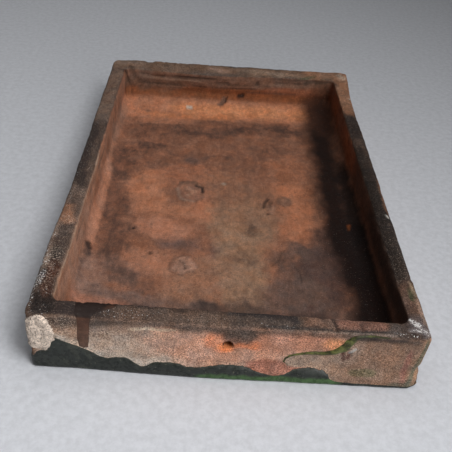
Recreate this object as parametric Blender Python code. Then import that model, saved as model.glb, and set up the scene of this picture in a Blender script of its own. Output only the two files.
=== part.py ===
"""A stove tile: one of the clay tiles that face a masonry heater.

The tile is a tray of fired clay. Its glazed face is a moulded plate, and four walls stand up from
the back of it to a rim, so that the back is hollow. It lies on its face with the hollow up. X runs
across the tile, Y along it from the near end to the far end, and Z up from the face to the rim.
The origin is under the middle of the tile, on the plane that it lies on. Sizes are in metres.
"""

import math
from collections import namedtuple

import bmesh
import bpy
from mathutils import Vector

# Driving sizes of the whole tile
WIDTH = 0.213
LENGTH = 0.340
RIM = 0.0367
FLOOR = 0.012
PLATE_EDGE = 0.0062

# Height of the rim at the four corners: the walls were cut unevenly by hand
RIM_NEAR_LEFT = 0.0399
RIM_NEAR_RIGHT = 0.0347
RIM_FAR_LEFT = 0.0370
RIM_FAR_RIGHT = 0.0378
FAR_RIM_SLANT = 0.0016

# One wall: how far its outside is set back from the plate's edge at its foot, at half height and
# at the rim, how thick it is at the rim, how wide its rim's outer round is, and how far its cove
# runs out over the floor
Wall = namedtuple("Wall", "foot waist lip thickness round cove")
NEAR = Wall(foot=0.0034, waist=0.0036, lip=0.0040, thickness=0.0116, round=0.0036, cove=0.014)
RIGHT = Wall(foot=0.0018, waist=0.0019, lip=0.0015, thickness=0.0108, round=0.0016, cove=0.009)
FAR = Wall(foot=0.0022, waist=0.0021, lip=0.0008, thickness=0.0159, round=0.0016, cove=0.040)
LEFT = Wall(foot=0.0008, waist=0.0010, lip=0.0015, thickness=0.0120, round=0.0022, cove=0.009)
DRAFT = 0.0010
COVE_RISE = 0.008
WAIST_HEIGHT = 0.022
FOOT_HEIGHT = 0.011

# Roundings of the rim, of the plate's edge and of the upright corners
RIM_INSIDE_ROUND = 0.0018
RIM_OUTSIDE_DROP = 0.0030
RIM_CROWN = 0.0003
PLATE_ROUND = 0.0014
OUTER_CORNER = 0.0035
INNER_CORNER = 0.0045
COVE_CORNER = 0.0130
PANEL_CORNER = 0.0020

# The face: a flat border, an ogee step and a sunk panel
BORDER = 0.020
OGEE_WIDTH = 0.007
PANEL_DEPTH = 0.003

# The hole for the wire that ties the tile to its neighbour
WIRE_HOLE_RADIUS = 0.00225
WIRE_HOLE_X = -0.0011
WIRE_HOLE_HEIGHT = 0.0233
WIRE_HOLE_REACH = 0.024

# Lump of old mortar left on the near left corner
MORTAR_CENTRE = Vector((-0.1010, -0.1640, 0.0260))
MORTAR_RADIUS = 0.0110
MORTAR_SWELL = 0.0012

# How finely the form is divided
ACROSS = 14
ALONG = 22
CORNER_STEPS = 2
COVE_STEPS = 4
ROUND_STEPS = 3

CLAY_COLOUR = (0.30, 0.135, 0.075, 1.0)
CLAY_ROUGHNESS = 0.85


def ease(low, high, value):
    """Rise smoothly from 0 at low to 1 at high"""
    share = min(max((value - low) / (high - low), 0.0), 1.0)
    return share * share * (3.0 - 2.0 * share)


def swell(distance, spread):
    """A soft hump that is 1 at no distance and fades over the spread"""
    return math.exp(-(distance / spread) ** 2)


def rim_height(x, y):
    """Height of the rim over a place in the plan"""
    across = x / WIDTH + 0.5
    along = y / LENGTH + 0.5
    near = RIM_NEAR_LEFT + (RIM_NEAR_RIGHT - RIM_NEAR_LEFT) * across
    far = RIM_FAR_LEFT + (RIM_FAR_RIGHT - RIM_FAR_LEFT) * across
    return near + (far - near) * along + FAR_RIM_SLANT * ease(0.150, 0.169, y)


def as_made(point):
    """Move a point of the true tray to where the maker's hands left it"""
    x, y, z = point
    raised = ease(PLATE_EDGE, RIM, z)
    near_left = x + WIDTH / 2, y + LENGTH / 2
    far_right = WIDTH / 2 - x, LENGTH / 2 - y
    on_left = ease(0.070, 0.100, -x) * raised
    on_right = ease(0.070, 0.100, x) * raised
    on_far = ease(0.130, 0.160, y) * raised
    # The right wall leans in towards the far end, where its corner flares
    on_right_outside = ease(0.095, 0.103, x) * raised
    x += on_right * (0.0006 * swell(near_left[1], 0.050) - 0.0085 * y)
    x += on_right_outside * 0.0040 * swell(far_right[1], 0.040)
    # The left wall leans out towards the near corner
    x -= on_left * 0.0022 * swell(near_left[1], 0.095)
    x += on_left * 0.0006 * swell(far_right[1], 0.030)
    # The far wall's inside is thicker left of its middle, and its left corner sags inwards
    on_far_inside = on_far * (1.0 - ease(0.152, 0.166, y))
    y -= on_far_inside * 0.0060 * swell(x + 0.018, 0.050) + on_far * 0.0026 * swell(near_left[0], 0.016)
    # The plate's near edge runs back towards the left corner
    at_near_edge = ease(0.130, 0.160, -y) * (1.0 - ease(PLATE_EDGE, FOOT_HEIGHT, z))
    y += at_near_edge * 0.0036 * (1.0 - ease(0.0, 0.130, near_left[0]))
    # The walls stop at the hand-cut rim
    if z > FLOOR:
        z = FLOOR + (z - FLOOR) * (rim_height(x, y) - FLOOR) / (RIM - FLOOR)
    made = Vector((x, y, z))
    # The mortar swells out of the corner
    outward = Vector((-1.0, -1.0, 0.0)).normalized()
    made += outward * MORTAR_SWELL * swell((made - MORTAR_CENTRE).length, MORTAR_RADIUS)
    made.x = min(max(made.x, -WIDTH / 2), WIDTH / 2)
    made.y = min(max(made.y, -LENGTH / 2), LENGTH / 2)
    return made


class Ring:
    """One level line round the tile: its setback from each plate edge, height and corner radius"""

    def __init__(self, setback, height, corner):
        self.left = -WIDTH / 2 + setback(LEFT)
        self.right = WIDTH / 2 - setback(RIGHT)
        self.near = -LENGTH / 2 + setback(NEAR)
        self.far = LENGTH / 2 - setback(FAR)
        self.height = height
        self.corner = corner

    def points(self):
        """Points round the ring, anticlockwise from the middle of the near left corner's arc"""
        r = self.corner
        arcs = (
            (self.left + r, self.near + r, 225.0),
            (self.right - r, self.near + r, 315.0),
            (self.right - r, self.far - r, 45.0),
            (self.left + r, self.far - r, 135.0),
        )
        places = []
        for side, steps in enumerate((ACROSS, ALONG, ACROSS, ALONG)):
            places += arc(arcs[side], r, 0.0, 45.0, CORNER_STEPS)
            start = arc(arcs[side], r, 45.0, 45.0, 1)[0]
            end = arc(arcs[(side + 1) % 4], r, -45.0, -45.0, 1)[0]
            for step in range(steps):
                places.append(start.lerp(end, step / steps))
            places += arc(arcs[(side + 1) % 4], r, -45.0, 0.0, CORNER_STEPS)
        return [as_made((place.x, place.y, self.height)) for place in places]


def arc(centre, radius, start, end, steps):
    """Points on a corner's arc, from start to just short of end, in degrees from its middle"""
    x, y, middle = centre
    places = []
    for step in range(steps):
        angle = math.radians(middle + start + (end - start) * step / steps)
        places.append(Vector((x + radius * math.cos(angle), y + radius * math.sin(angle))))
    return places


def inside_rings():
    """Rings up the inside, from the floor's edge up the cove and the wall to the rim"""
    rings = []
    for step in range(COVE_STEPS + 1):
        turn = math.radians(90.0 * step / COVE_STEPS)
        run = 1.0 - math.sin(turn)
        rings.append(Ring(
            lambda wall: wall.lip + wall.thickness + DRAFT + wall.cove * run,
            FLOOR + COVE_RISE * (1.0 - math.cos(turn)),
            INNER_CORNER + (COVE_CORNER - INNER_CORNER) * run,
        ))
    rings.append(Ring(
        lambda wall: wall.lip + wall.thickness + DRAFT / 2,
        (FLOOR + COVE_RISE + RIM) / 2,
        INNER_CORNER,
    ))
    for step in range(ROUND_STEPS + 1):
        turn = math.radians(90.0 * step / ROUND_STEPS)
        rings.append(Ring(
            lambda wall: wall.lip + wall.thickness - RIM_INSIDE_ROUND * (1.0 - math.cos(turn)),
            RIM - RIM_INSIDE_ROUND * (1.0 - math.sin(turn)),
            INNER_CORNER + RIM_INSIDE_ROUND * (1.0 - math.cos(turn)),
        ))
    return rings


def outside_rings():
    """Rings down the outside, from the rim's crown to the round of the plate's edge"""
    rings = [Ring(
        lambda wall: wall.lip + (wall.thickness + wall.round - RIM_INSIDE_ROUND) / 2,
        RIM + RIM_CROWN,
        INNER_CORNER,
    )]
    for step in range(ROUND_STEPS + 1):
        turn = math.radians(90.0 * step / ROUND_STEPS)
        rings.append(Ring(
            lambda wall: wall.lip + wall.round * (1.0 - math.sin(turn)),
            RIM - RIM_OUTSIDE_DROP * (1.0 - math.cos(turn)),
            OUTER_CORNER,
        ))
    rings.append(Ring(lambda wall: wall.waist, WAIST_HEIGHT, OUTER_CORNER))
    rings.append(Ring(lambda wall: wall.foot, FOOT_HEIGHT, OUTER_CORNER))
    rings.append(Ring(lambda wall: 0.0, PLATE_EDGE, OUTER_CORNER))
    for step in range(ROUND_STEPS):
        turn = math.radians(90.0 * step / (ROUND_STEPS - 1))
        rings.append(Ring(
            lambda wall: PLATE_ROUND * (1.0 - math.cos(turn)),
            PLATE_ROUND * (1.0 - math.sin(turn)),
            OUTER_CORNER,
        ))
    return rings


def face_rings():
    """Rings over the face, from the border's inner line down the ogee to the sunk panel"""
    rings = []
    for share in (0.0, 0.25, 0.5, 0.75, 1.0):
        rings.append(Ring(
            lambda wall: BORDER + OGEE_WIDTH * share,
            PANEL_DEPTH * ease(0.0, 1.0, share),
            PANEL_CORNER,
        ))
    return rings


def ring_place(column, row, columns, rows):
    """Number of a grid's border point, counted round the ring, or None inside the grid"""
    if row == 0:
        return column
    if column == columns:
        return columns + row
    if row == rows:
        return 2 * columns + rows - column
    if column == 0:
        return 2 * (columns + rows) - row
    return None


def add_sheet(bm, border, number):
    """Lay a grid of faces inside a closed ring of points, and number the grid's border"""
    columns = ACROSS + 2 * CORNER_STEPS
    rows = ALONG + 2 * CORNER_STEPS
    grid = bmesh.ops.create_grid(bm, x_segments=columns, y_segments=rows, size=0.5)["verts"]
    corner_near_left = border[0]
    corner_near_right = border[columns]
    corner_far_right = border[columns + rows]
    corner_far_left = border[2 * columns + rows]
    for vert in grid:
        across = vert.co.x + 0.5
        along = vert.co.y + 0.5
        column = round(across * columns)
        row = round(along * rows)
        place = ring_place(column, row, columns, rows)
        vert[number] = -1 if place is None else place
        near = border[column]
        far = border[2 * columns + rows - column]
        left = border[(2 * (columns + rows) - row) % len(border)]
        right = border[columns + row]
        across_blend = near.lerp(far, along) + left.lerp(right, across)
        corners = corner_near_left.lerp(corner_near_right, across).lerp(
            corner_far_left.lerp(corner_far_right, across), along)
        vert.co = across_blend - corners
    return grid


def extrude_to(bm, edges, ring, number):
    """Extrude the open border to the next ring, and return its new edges"""
    places = ring.points()
    made = bmesh.ops.extrude_edge_only(bm, edges=edges)["geom"]
    for vert in made:
        if isinstance(vert, bmesh.types.BMVert):
            vert.co = places[vert[number]]
    return [edge for edge in made if isinstance(edge, bmesh.types.BMEdge) and edge.is_boundary]


def make_tile(collection):
    """The whole tile as one body of clay"""
    bm = bmesh.new()
    number = bm.verts.layers.int.new("place_round_the_ring")
    inside = inside_rings()
    add_sheet(bm, inside[0].points(), number)
    border = [edge for edge in bm.edges if edge.is_boundary]
    face = face_rings()
    for ring in inside[1:] + outside_rings() + face:
        border = extrude_to(bm, border, ring, number)
    add_sheet(bm, face[-1].points(), number)
    bmesh.ops.remove_doubles(bm, verts=bm.verts, dist=1e-6)
    bmesh.ops.recalc_face_normals(bm, faces=bm.faces)
    bmesh.ops.triangulate(bm, faces=bm.faces)
    bm.verts.layers.int.remove(number)
    mesh = bpy.data.meshes.new("tile")
    bm.to_mesh(mesh)
    bm.free()
    mesh.shade_smooth()
    mesh.set_sharp_from_angle(angle=math.radians(40.0))
    tile = bpy.data.objects.new("tile", mesh)
    tile.data.materials.append(clay())
    collection.objects.link(tile)
    return tile


def make_wire_hole_cutter(collection):
    """The bar that pierces the near wall for the wire"""
    bm = bmesh.new()
    bmesh.ops.create_cone(
        bm,
        cap_ends=True,
        segments=20,
        radius1=WIRE_HOLE_RADIUS,
        radius2=WIRE_HOLE_RADIUS,
        depth=WIRE_HOLE_REACH,
    )
    mesh = bpy.data.meshes.new("wire_hole_cutter")
    bm.to_mesh(mesh)
    bm.free()
    cutter = bpy.data.objects.new("wire_hole_cutter", mesh)
    cutter.location = (WIRE_HOLE_X, -LENGTH / 2 + WIRE_HOLE_REACH / 2 - 0.003, WIRE_HOLE_HEIGHT)
    cutter.rotation_euler = (math.radians(90.0), 0.0, 0.0)
    cutter.hide_render = True
    cutter.display_type = "WIRE"
    collection.objects.link(cutter)
    return cutter


def cut_wire_hole(tile, cutter):
    """Pierce the near wall"""
    hole = tile.modifiers.new("wire_hole", "BOOLEAN")
    hole.operation = "DIFFERENCE"
    hole.solver = "EXACT"
    hole.object = cutter


def clay():
    """Fired red-brown clay, dulled by soot"""
    material = bpy.data.materials.new("fired_clay")
    material.use_nodes = True
    shader = material.node_tree.nodes["Principled BSDF"]
    shader.inputs["Base Color"].default_value = CLAY_COLOUR
    shader.inputs["Roughness"].default_value = CLAY_ROUGHNESS
    shader.inputs["Metallic"].default_value = 0.0
    return material


def make_collection(name):
    """A collection linked to the scene"""
    collection = bpy.data.collections.new(name)
    bpy.context.scene.collection.children.link(collection)
    return collection


def main():
    for thing in list(bpy.context.scene.objects):
        bpy.data.objects.remove(thing, do_unlink=True)
    tile = make_tile(make_collection("stove_tile"))
    cutter = make_wire_hole_cutter(make_collection("cutters"))
    cut_wire_hole(tile, cutter)


main()
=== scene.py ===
"""A weathered stove tile lying on its glazed face, with its hollow back up.

The tile is one piece of fired clay. Its shape is the section of a tray that is carried round a
rounded rectangle, then pushed out of true as the maker's hands left it, chipped and pitted. Its
surface is bare clay, soot, sandy scale, glaze and old mortar in one layered material.
"""

import math
from types import SimpleNamespace

import bpy
import numpy as np
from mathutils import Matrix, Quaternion, Vector, noise


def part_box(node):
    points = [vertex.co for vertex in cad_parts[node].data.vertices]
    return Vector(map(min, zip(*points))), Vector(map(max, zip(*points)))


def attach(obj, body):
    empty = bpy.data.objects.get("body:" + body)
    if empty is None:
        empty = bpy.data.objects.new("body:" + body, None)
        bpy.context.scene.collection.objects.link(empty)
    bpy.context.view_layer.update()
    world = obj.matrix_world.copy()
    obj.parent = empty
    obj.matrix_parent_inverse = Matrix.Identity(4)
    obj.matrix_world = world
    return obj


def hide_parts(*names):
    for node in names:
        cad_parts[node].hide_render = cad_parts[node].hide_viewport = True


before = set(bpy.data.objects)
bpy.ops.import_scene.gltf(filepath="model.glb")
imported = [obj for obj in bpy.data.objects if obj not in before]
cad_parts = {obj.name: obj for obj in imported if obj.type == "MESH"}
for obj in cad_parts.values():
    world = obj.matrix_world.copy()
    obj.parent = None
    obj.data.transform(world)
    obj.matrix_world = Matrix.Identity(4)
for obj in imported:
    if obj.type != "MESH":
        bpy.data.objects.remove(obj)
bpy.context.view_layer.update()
LOW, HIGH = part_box("tile")

bl_info = {
    "name": "Stove Tile",
    "version": (1, 0, 0),
    "blender": (4, 5, 0),
    "location": "View3D > Sidebar > Stove Tile",
    "description": "A weathered, hollow-backed stove tile of fired clay",
    "category": "Object",
}

MM = 0.001

# Rings of faces along each stretch of the section, from the floor's edge to the face's panel
COVE_RINGS = 12
WALL_RINGS = 9
RIM_INSIDE_RINGS = 3
RIM_TOP_RINGS = 6
RIM_OUTSIDE_RINGS = 5
OUTSIDE_RINGS = 20
PLATE_RINGS = 4
EDGE_RINGS = 3
BORDER_RINGS = 2
OGEE_RINGS = 4

# Columns of faces across and along the floor, those in each half of a corner's arc, and how many
# of them one face of the sunk panel takes
ACROSS = 150
ALONG = 189
CORNER = 4
PANEL_SHARE = 3


def ease(low, high, value):
    """Rise smoothly from 0 at low to 1 at high"""
    share = np.clip((value - low) / (high - low), 0.0, 1.0)
    return share * share * (3.0 - 2.0 * share)


def swell(distance, spread):
    """A soft hump that is 1 at no distance and fades over the spread"""
    return np.exp(-((distance / spread) ** 2))


def length(name, description, default):
    """A size in metres that a user may change"""
    return bpy.props.FloatProperty(name=name, description=description, default=default,
                                   min=0.0, unit="LENGTH")


def colour(name, description, default):
    """A colour that a user may change"""
    return bpy.props.FloatVectorProperty(name=name, description=description, default=default,
                                         size=3, min=0.0, max=1.0, subtype="COLOR")


class StoveTileSettings(bpy.types.PropertyGroup):
    """Sizes and colours of the tile"""

    floor_height: length("Floor Height", "Height of the tray's floor over the face", 12 * MM)
    rim_height: length("Rim Height", "Height of the rim before it was cut by hand", 36.7 * MM)
    wire_hole: length("Wire Hole", "Diameter of the hole for the tie wire", 4.5 * MM)
    unevenness: length("Unevenness", "How far the pressed clay rises and falls", 0.45 * MM)
    glaze_thickness: length("Glaze Thickness", "Height of the glaze over the clay", 0.45 * MM)
    roll_thickness: length("Glaze Roll", "Height of the roll of glaze on the near wall", 1.0 * MM)
    mortar_thickness: length("Mortar Thickness", "Height of the mortar on the corner", 1.3 * MM)
    glaze_colour: colour("Glaze", "Thick glaze on the foot of the walls", (0.023, 0.026, 0.023))
    green_colour: colour("Thin Glaze", "Green along the foot of the glaze", (0.048, 0.094, 0.034))
    roll_colour: colour("Glaze Roll", "Olive glaze of the roll", (0.074, 0.077, 0.024))
    mortar_colour: colour("Mortar", "Old lime mortar", (0.73, 0.60, 0.50))
    drip_colour: colour("Drip", "Brown run over the near rim", (0.072, 0.031, 0.018))
    # Salt grains on the rim, partly painted glints
    salt_colour: colour("Salt", "Pale grains and salts on the rim", (0.78, 0.75, 0.73))
    table_colour: colour("Table", "The pale table under the tile", (0.585, 0.597, 0.632))


# Sides of the tile in the order in which the arrays below hold them
WALLS = ("near", "right", "far", "left")
# How far the outside of each wall is set back at its foot, its waist and its rim, how thick it is
# and how far its cove runs out over the floor
FOOT = np.array((3.4, 1.8, 2.2, 0.8)) * MM
WAIST = np.array((3.6, 1.9, 2.1, 1.0)) * MM
LIP = np.array((4.0, 1.5, 0.8, 1.5)) * MM
THICKNESS = np.array((11.6, 10.8, 15.9, 12.0)) * MM
RIM_OUTSIDE_ROUND = np.array((3.6, 1.6, 1.6, 2.2)) * MM
COVE = np.array((14.0, 9.0, 40.0, 9.0)) * MM
DRAFT = 1.0 * MM
COVE_RISE = 8.0 * MM
WAIST_HEIGHT = 22.0 * MM
FOOT_HEIGHT = 11.0 * MM
PLATE_EDGE = 6.2 * MM
RIM_INSIDE_ROUND = 1.8 * MM
RIM_OUTSIDE_DROP = 3.0 * MM
RIM_CROWN = 0.3 * MM
PLATE_ROUND = 1.4 * MM
OUTER_CORNER = 3.5 * MM
INNER_CORNER = 4.5 * MM
COVE_CORNER = 13.0 * MM
PANEL_CORNER = 2.0 * MM
BORDER = 20.0 * MM
OGEE_WIDTH = 7.0 * MM
PANEL_DEPTH = 3.0 * MM
RIM_CORNERS = np.array((39.9, 34.7, 37.8, 37.0)) * MM
FAR_RIM_SLANT = 1.6 * MM

# Where the walls' pushes begin and where they are full, from the middle of the tile
SIDE_WALLS = (70.0 * MM, 100.0 * MM)
END_WALLS = (130.0 * MM, 160.0 * MM)
RIGHT_OUTSIDE = (95.0 * MM, 103.0 * MM)
FAR_OUTSIDE = (152.0 * MM, 166.0 * MM)

# How far the maker's hands pushed the walls out of true
RIGHT_LEAN = 0.0085
RIGHT_NEAR_PUSH = 0.6 * MM
RIGHT_FAR_FLARE = 4.0 * MM
LEFT_NEAR_PUSH = 2.2 * MM
LEFT_FAR_PUSH = 0.6 * MM
FAR_BULGE = 6.0 * MM
FAR_LEFT_PULL = 2.6 * MM
WORN_FOOT = 3.6 * MM
FOOT_DENT = 0.7 * MM

# Height of the clay's grain in its material, and the faces of the near wall that are made finer
GRAIN_HEIGHT = 0.45 * MM
FINE_ABOVE = 3.0 * MM
SMOOTH_ANGLE = 55.0

# The wire hole: its place across the near wall, its height and how far its mouth has broken open
HOLE_X = -1.1 * MM
HOLE_HEIGHT = 23.3 * MM
HOLE_MOUTH = 0.6 * MM
HOLE_SIDES = 28

# Stations along the section, from the floor over the rim and down to the face's panel
COVE_TOP, INNER_LIP, RIM_IN, RIM_OUT, OUTER_LIP = 1.0, 2.0, 2.3, 2.7, 3.0
PLATE_TOP, FACE_EDGE, BORDER_END, PANEL = 4.0, 5.0, 6.0, 7.0


def rim_height(x, y):
    """Height of the hand-cut rim over a place in the plan"""
    across = (x - LOW.x) / (HIGH.x - LOW.x)
    along = (y - LOW.y) / (HIGH.y - LOW.y)
    near = RIM_CORNERS[0] + (RIM_CORNERS[1] - RIM_CORNERS[0]) * across
    far = RIM_CORNERS[3] + (RIM_CORNERS[2] - RIM_CORNERS[3]) * across
    return near + (far - near) * along + FAR_RIM_SLANT * ease(0.150, 0.169, y)


def as_made(points, rim, floor):
    """Move points of the true tray to where the maker's hands left them"""
    x, y, z = points.T.copy()
    raised = ease(PLATE_EDGE, rim, z)
    from_left, from_near, from_far = x - LOW.x, y - LOW.y, HIGH.y - y
    on_left = ease(*SIDE_WALLS, -x) * raised
    on_right = ease(*SIDE_WALLS, x) * raised
    on_far = ease(*END_WALLS, y) * raised
    on_right_outside = ease(*RIGHT_OUTSIDE, x) * raised
    x += on_right * (RIGHT_NEAR_PUSH * swell(from_near, 0.050) - RIGHT_LEAN * y)
    x += on_right_outside * RIGHT_FAR_FLARE * swell(from_far, 0.040)
    x -= on_left * LEFT_NEAR_PUSH * swell(from_near, 0.095)
    x += on_left * LEFT_FAR_PUSH * swell(from_far, 0.030)
    on_far_inside = on_far * (1.0 - ease(*FAR_OUTSIDE, y))
    y -= on_far_inside * FAR_BULGE * swell(x + 0.018, 0.050)
    y -= on_far * FAR_LEFT_PULL * swell(from_left, 0.016)
    at_near_edge = ease(*END_WALLS, -y) * (1.0 - ease(PLATE_EDGE, FOOT_HEIGHT, z))
    y += at_near_edge * WORN_FOOT * (1.0 - ease(0.0, 0.130, from_left))
    y += at_near_edge * FOOT_DENT * swell(x - 0.025, 0.050)
    cut = floor + (z - floor) * (rim_height(x, y) - floor) / (rim - floor)
    z = np.where(z > floor, cut, z)
    return np.stack((x, y, z), axis=1)


def arc(centre, radius, middle, start, end, steps):
    """Points on a corner's arc, from start to just short of end, in degrees from its middle"""
    angle = np.radians(middle + start + (end - start) * np.arange(steps) / steps)
    return np.stack((centre[0] + radius * np.cos(angle), centre[1] + radius * np.sin(angle)), axis=1)


def ring_points(setback, height, corner):
    """Points round one ring, anticlockwise from the middle of the near left corner's arc"""
    near, right, far, left = setback
    x0, x1 = LOW.x + left, HIGH.x - right
    y0, y1 = LOW.y + near, HIGH.y - far
    centres = ((x0 + corner, y0 + corner), (x1 - corner, y0 + corner),
               (x1 - corner, y1 - corner), (x0 + corner, y1 - corner))
    middles = (225.0, 315.0, 45.0, 135.0)
    places = []
    for side, steps in enumerate((ACROSS, ALONG, ACROSS, ALONG)):
        after = (side + 1) % 4
        places.append(arc(centres[side], corner, middles[side], 0.0, 45.0, CORNER))
        start = arc(centres[side], corner, middles[side], 45.0, 45.0, 1)
        end = arc(centres[after], corner, middles[after], -45.0, -45.0, 1)
        share = np.arange(steps - 2 * CORNER)[:, None] / (steps - 2 * CORNER)
        places.append(start + (end - start) * share)
        places.append(arc(centres[after], corner, middles[after], -45.0, 0.0, CORNER))
    plan = np.concatenate(places)
    return np.column_stack((plan, np.full(len(plan), height)))


def straight(share):
    """Keep an even pace"""
    return share


def fast(share):
    """A quarter turn that starts fast and ends slow"""
    return math.sin(math.radians(90.0 * share))


def slow(share):
    """A quarter turn that starts slow and ends fast"""
    return 1.0 - math.cos(math.radians(90.0 * share))


def crown(share):
    """Rise in the middle and come back down"""
    return math.sin(math.pi * share)


def ogee(share):
    """Start slow, end slow"""
    return ease(0.0, 1.0, share)


def stretch(start, end, steps, across=straight, up=straight):
    """Rings from start to end at these paces, as setback, height, corner radius and station"""
    rings = []
    for share in np.linspace(0.0, 1.0, steps + 1):
        paces = (across(share), up(share), across(share), share)
        rings.append(tuple(low + (high - low) * pace for low, high, pace in zip(start, end, paces)))
    return rings


def inside_section(floor, rim):
    """Rings of the cove, the inner wall and the rim, up to its outer lip"""
    lip = LIP + THICKNESS
    wall_foot = lip + DRAFT
    lip_height, outer_height = rim - RIM_INSIDE_ROUND, rim - RIM_OUTSIDE_DROP
    top_in, top_out = lip - RIM_INSIDE_ROUND, LIP + RIM_OUTSIDE_ROUND
    cove = ((wall_foot + COVE, floor, COVE_CORNER, 0.0),
            (wall_foot, floor + COVE_RISE, INNER_CORNER, COVE_TOP))
    inner_lip = (lip, lip_height, INNER_CORNER, INNER_LIP)
    rim_in = (top_in, rim, INNER_CORNER + RIM_INSIDE_ROUND, RIM_IN)
    top = ((top_in, rim, INNER_CORNER, RIM_IN), (top_out, rim + RIM_CROWN, INNER_CORNER, RIM_OUT))
    outer = ((top_out, rim, OUTER_CORNER, RIM_OUT), (LIP, outer_height, OUTER_CORNER, OUTER_LIP))
    return (stretch(*cove, COVE_RINGS, fast, slow)
            + stretch(cove[1], inner_lip, WALL_RINGS)[1:-1]
            + stretch(inner_lip, rim_in, RIM_INSIDE_RINGS, slow, fast)
            + stretch(*top, RIM_TOP_RINGS, up=crown)[1:-1]
            + stretch(*outer, RIM_OUTSIDE_RINGS, fast, slow))


def outside_section(rim):
    """Rings down the outer wall, over its flared foot"""
    rings = []
    lip_height = rim - RIM_OUTSIDE_DROP
    for share in np.linspace(0.0, 1.0, OUTSIDE_RINGS + 1)[1:]:
        height = lip_height + (PLATE_EDGE - lip_height) * share
        setback = LIP + (WAIST - LIP) * ease(lip_height, WAIST_HEIGHT, height)
        setback = setback + (FOOT - setback) * ease(WAIST_HEIGHT, FOOT_HEIGHT, height)
        rings.append((setback * (1.0 - ease(FOOT_HEIGHT, PLATE_EDGE, height)), height, OUTER_CORNER,
                      OUTER_LIP + (PLATE_TOP - OUTER_LIP) * share))
    return rings


def face_section():
    """Rings round the plate's edge, over the hidden face's border and down the ogee"""
    flush = np.zeros(len(WALLS))
    plate_top = (flush, PLATE_EDGE, OUTER_CORNER, PLATE_TOP)
    plate_foot = (flush, PLATE_ROUND, OUTER_CORNER, FACE_EDGE)
    face_edge = (flush + PLATE_ROUND, 0.0, OUTER_CORNER, FACE_EDGE)
    border_end = (flush + BORDER, 0.0, PANEL_CORNER, BORDER_END)
    panel_edge = (flush + BORDER + OGEE_WIDTH, PANEL_DEPTH, PANEL_CORNER, PANEL)
    return (stretch(plate_top, plate_foot, PLATE_RINGS)[1:-1]
            + stretch(plate_foot, face_edge, EDGE_RINGS, slow, fast)
            + stretch(face_edge, border_end, BORDER_RINGS)[1:-1]
            + stretch(border_end, panel_edge, OGEE_RINGS, up=ogee))


def border_place(column, row, columns, rows):
    """Number of a grid's border point counted round the ring, for arrays of columns and rows"""
    place = np.where(row == 0, column, 0)
    place = np.where(column == columns, columns + row, place)
    place = np.where((row == rows) & (column < columns), 2 * columns + rows - column, place)
    place = np.where((column == 0) & (row > 0) & (row < rows), 2 * (columns + rows) - row, place)
    return place


def spread_sheet(column, row, columns, rows, border):
    """Places for a grid's points inside a closed border, blended from its four sides"""
    across = (column / columns)[:, None]
    along = (row / rows)[:, None]
    near, far = border[column], border[2 * columns + rows - column]
    left = border[(2 * (columns + rows) - row) % len(border)]
    right = border[columns + row]
    corners = ((border[0] * (1 - across) + border[columns] * across) * (1 - along)
               + (border[2 * columns + rows] * (1 - across) + border[columns + rows] * across) * along)
    return near * (1 - along) + far * along + left * (1 - across) + right * across - corners


def coordinates(mesh):
    """The mesh's vertex places as an array"""
    places = np.empty(len(mesh.vertices) * 3)
    mesh.vertices.foreach_get("co", places)
    return places.reshape(-1, 3)


def set_coordinates(mesh, places):
    """Move the mesh's vertices to these places"""
    mesh.vertices.foreach_set("co", places.ravel())
    mesh.update()


def set_values(mesh, name, values):
    """Keep one number a vertex in the mesh's attribute of this name"""
    attribute = mesh.attributes.get(name) or mesh.attributes.new(name, "FLOAT", "POINT")
    attribute.data.foreach_set("value", np.asarray(values, dtype=np.float32))


def add_blank(name, columns, rows):
    """A flat grid, one unit a face, with its near left corner at the origin"""
    bpy.ops.object.select_all(action="DESELECT")
    bpy.ops.mesh.primitive_grid_add(x_subdivisions=columns, y_subdivisions=rows, size=1.0,
                                    location=(0.5, 0.5, 0.0))
    blank = bpy.context.object
    blank.name = name
    blank.data.name = name
    blank.scale = (columns, rows, 1.0)
    blank.location = (columns / 2, rows / 2, 0.0)
    bpy.ops.object.transform_apply(location=True, rotation=True, scale=True)
    return blank


def draw_sides(rings):
    """Pull the grid's border down into a skirt of as many rings of faces"""
    bpy.ops.object.mode_set(mode="EDIT")
    bpy.ops.mesh.select_mode(type="EDGE")
    bpy.ops.mesh.select_all(action="SELECT")
    bpy.ops.mesh.region_to_loop()
    bpy.ops.mesh.extrude_region_move(TRANSFORM_OT_translate={"value": (0.0, 0.0, -float(rings))})
    bpy.ops.object.mode_set(mode="OBJECT")
    mesh = bpy.context.object.data
    ends = np.empty(len(mesh.edges) * 2, dtype=int)
    mesh.edges.foreach_get("vertices", ends)
    height = coordinates(mesh)[:, 2][ends.reshape(-1, 2)]
    mesh.edges.foreach_set("select", np.abs(height[:, 0] - height[:, 1]) > 0.5)
    bpy.ops.object.mode_set(mode="EDIT")
    bpy.ops.mesh.subdivide(number_cuts=rings - 1)
    bpy.ops.object.mode_set(mode="OBJECT")


def form_tray(tray, rings, settings):
    """Carry the tray's section round the blank and note each vertex's station"""
    floor, rim = settings.floor_height, settings.rim_height
    borders = np.array([as_made(ring_points(*ring[:3]), rim, floor) for ring in rings])
    blank = np.rint(coordinates(tray.data)).astype(int)
    column, row, depth = blank[:, 0], blank[:, 1], -blank[:, 2]
    place = border_place(column, row, ACROSS, ALONG)
    places = spread_sheet(column, row, ACROSS, ALONG, borders[0])
    on_skirt = depth > 0
    places[on_skirt] = borders[depth[on_skirt], place[on_skirt]]
    set_coordinates(tray.data, places)
    set_values(tray.data, "station", np.array([ring[3] for ring in rings])[depth])


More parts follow.
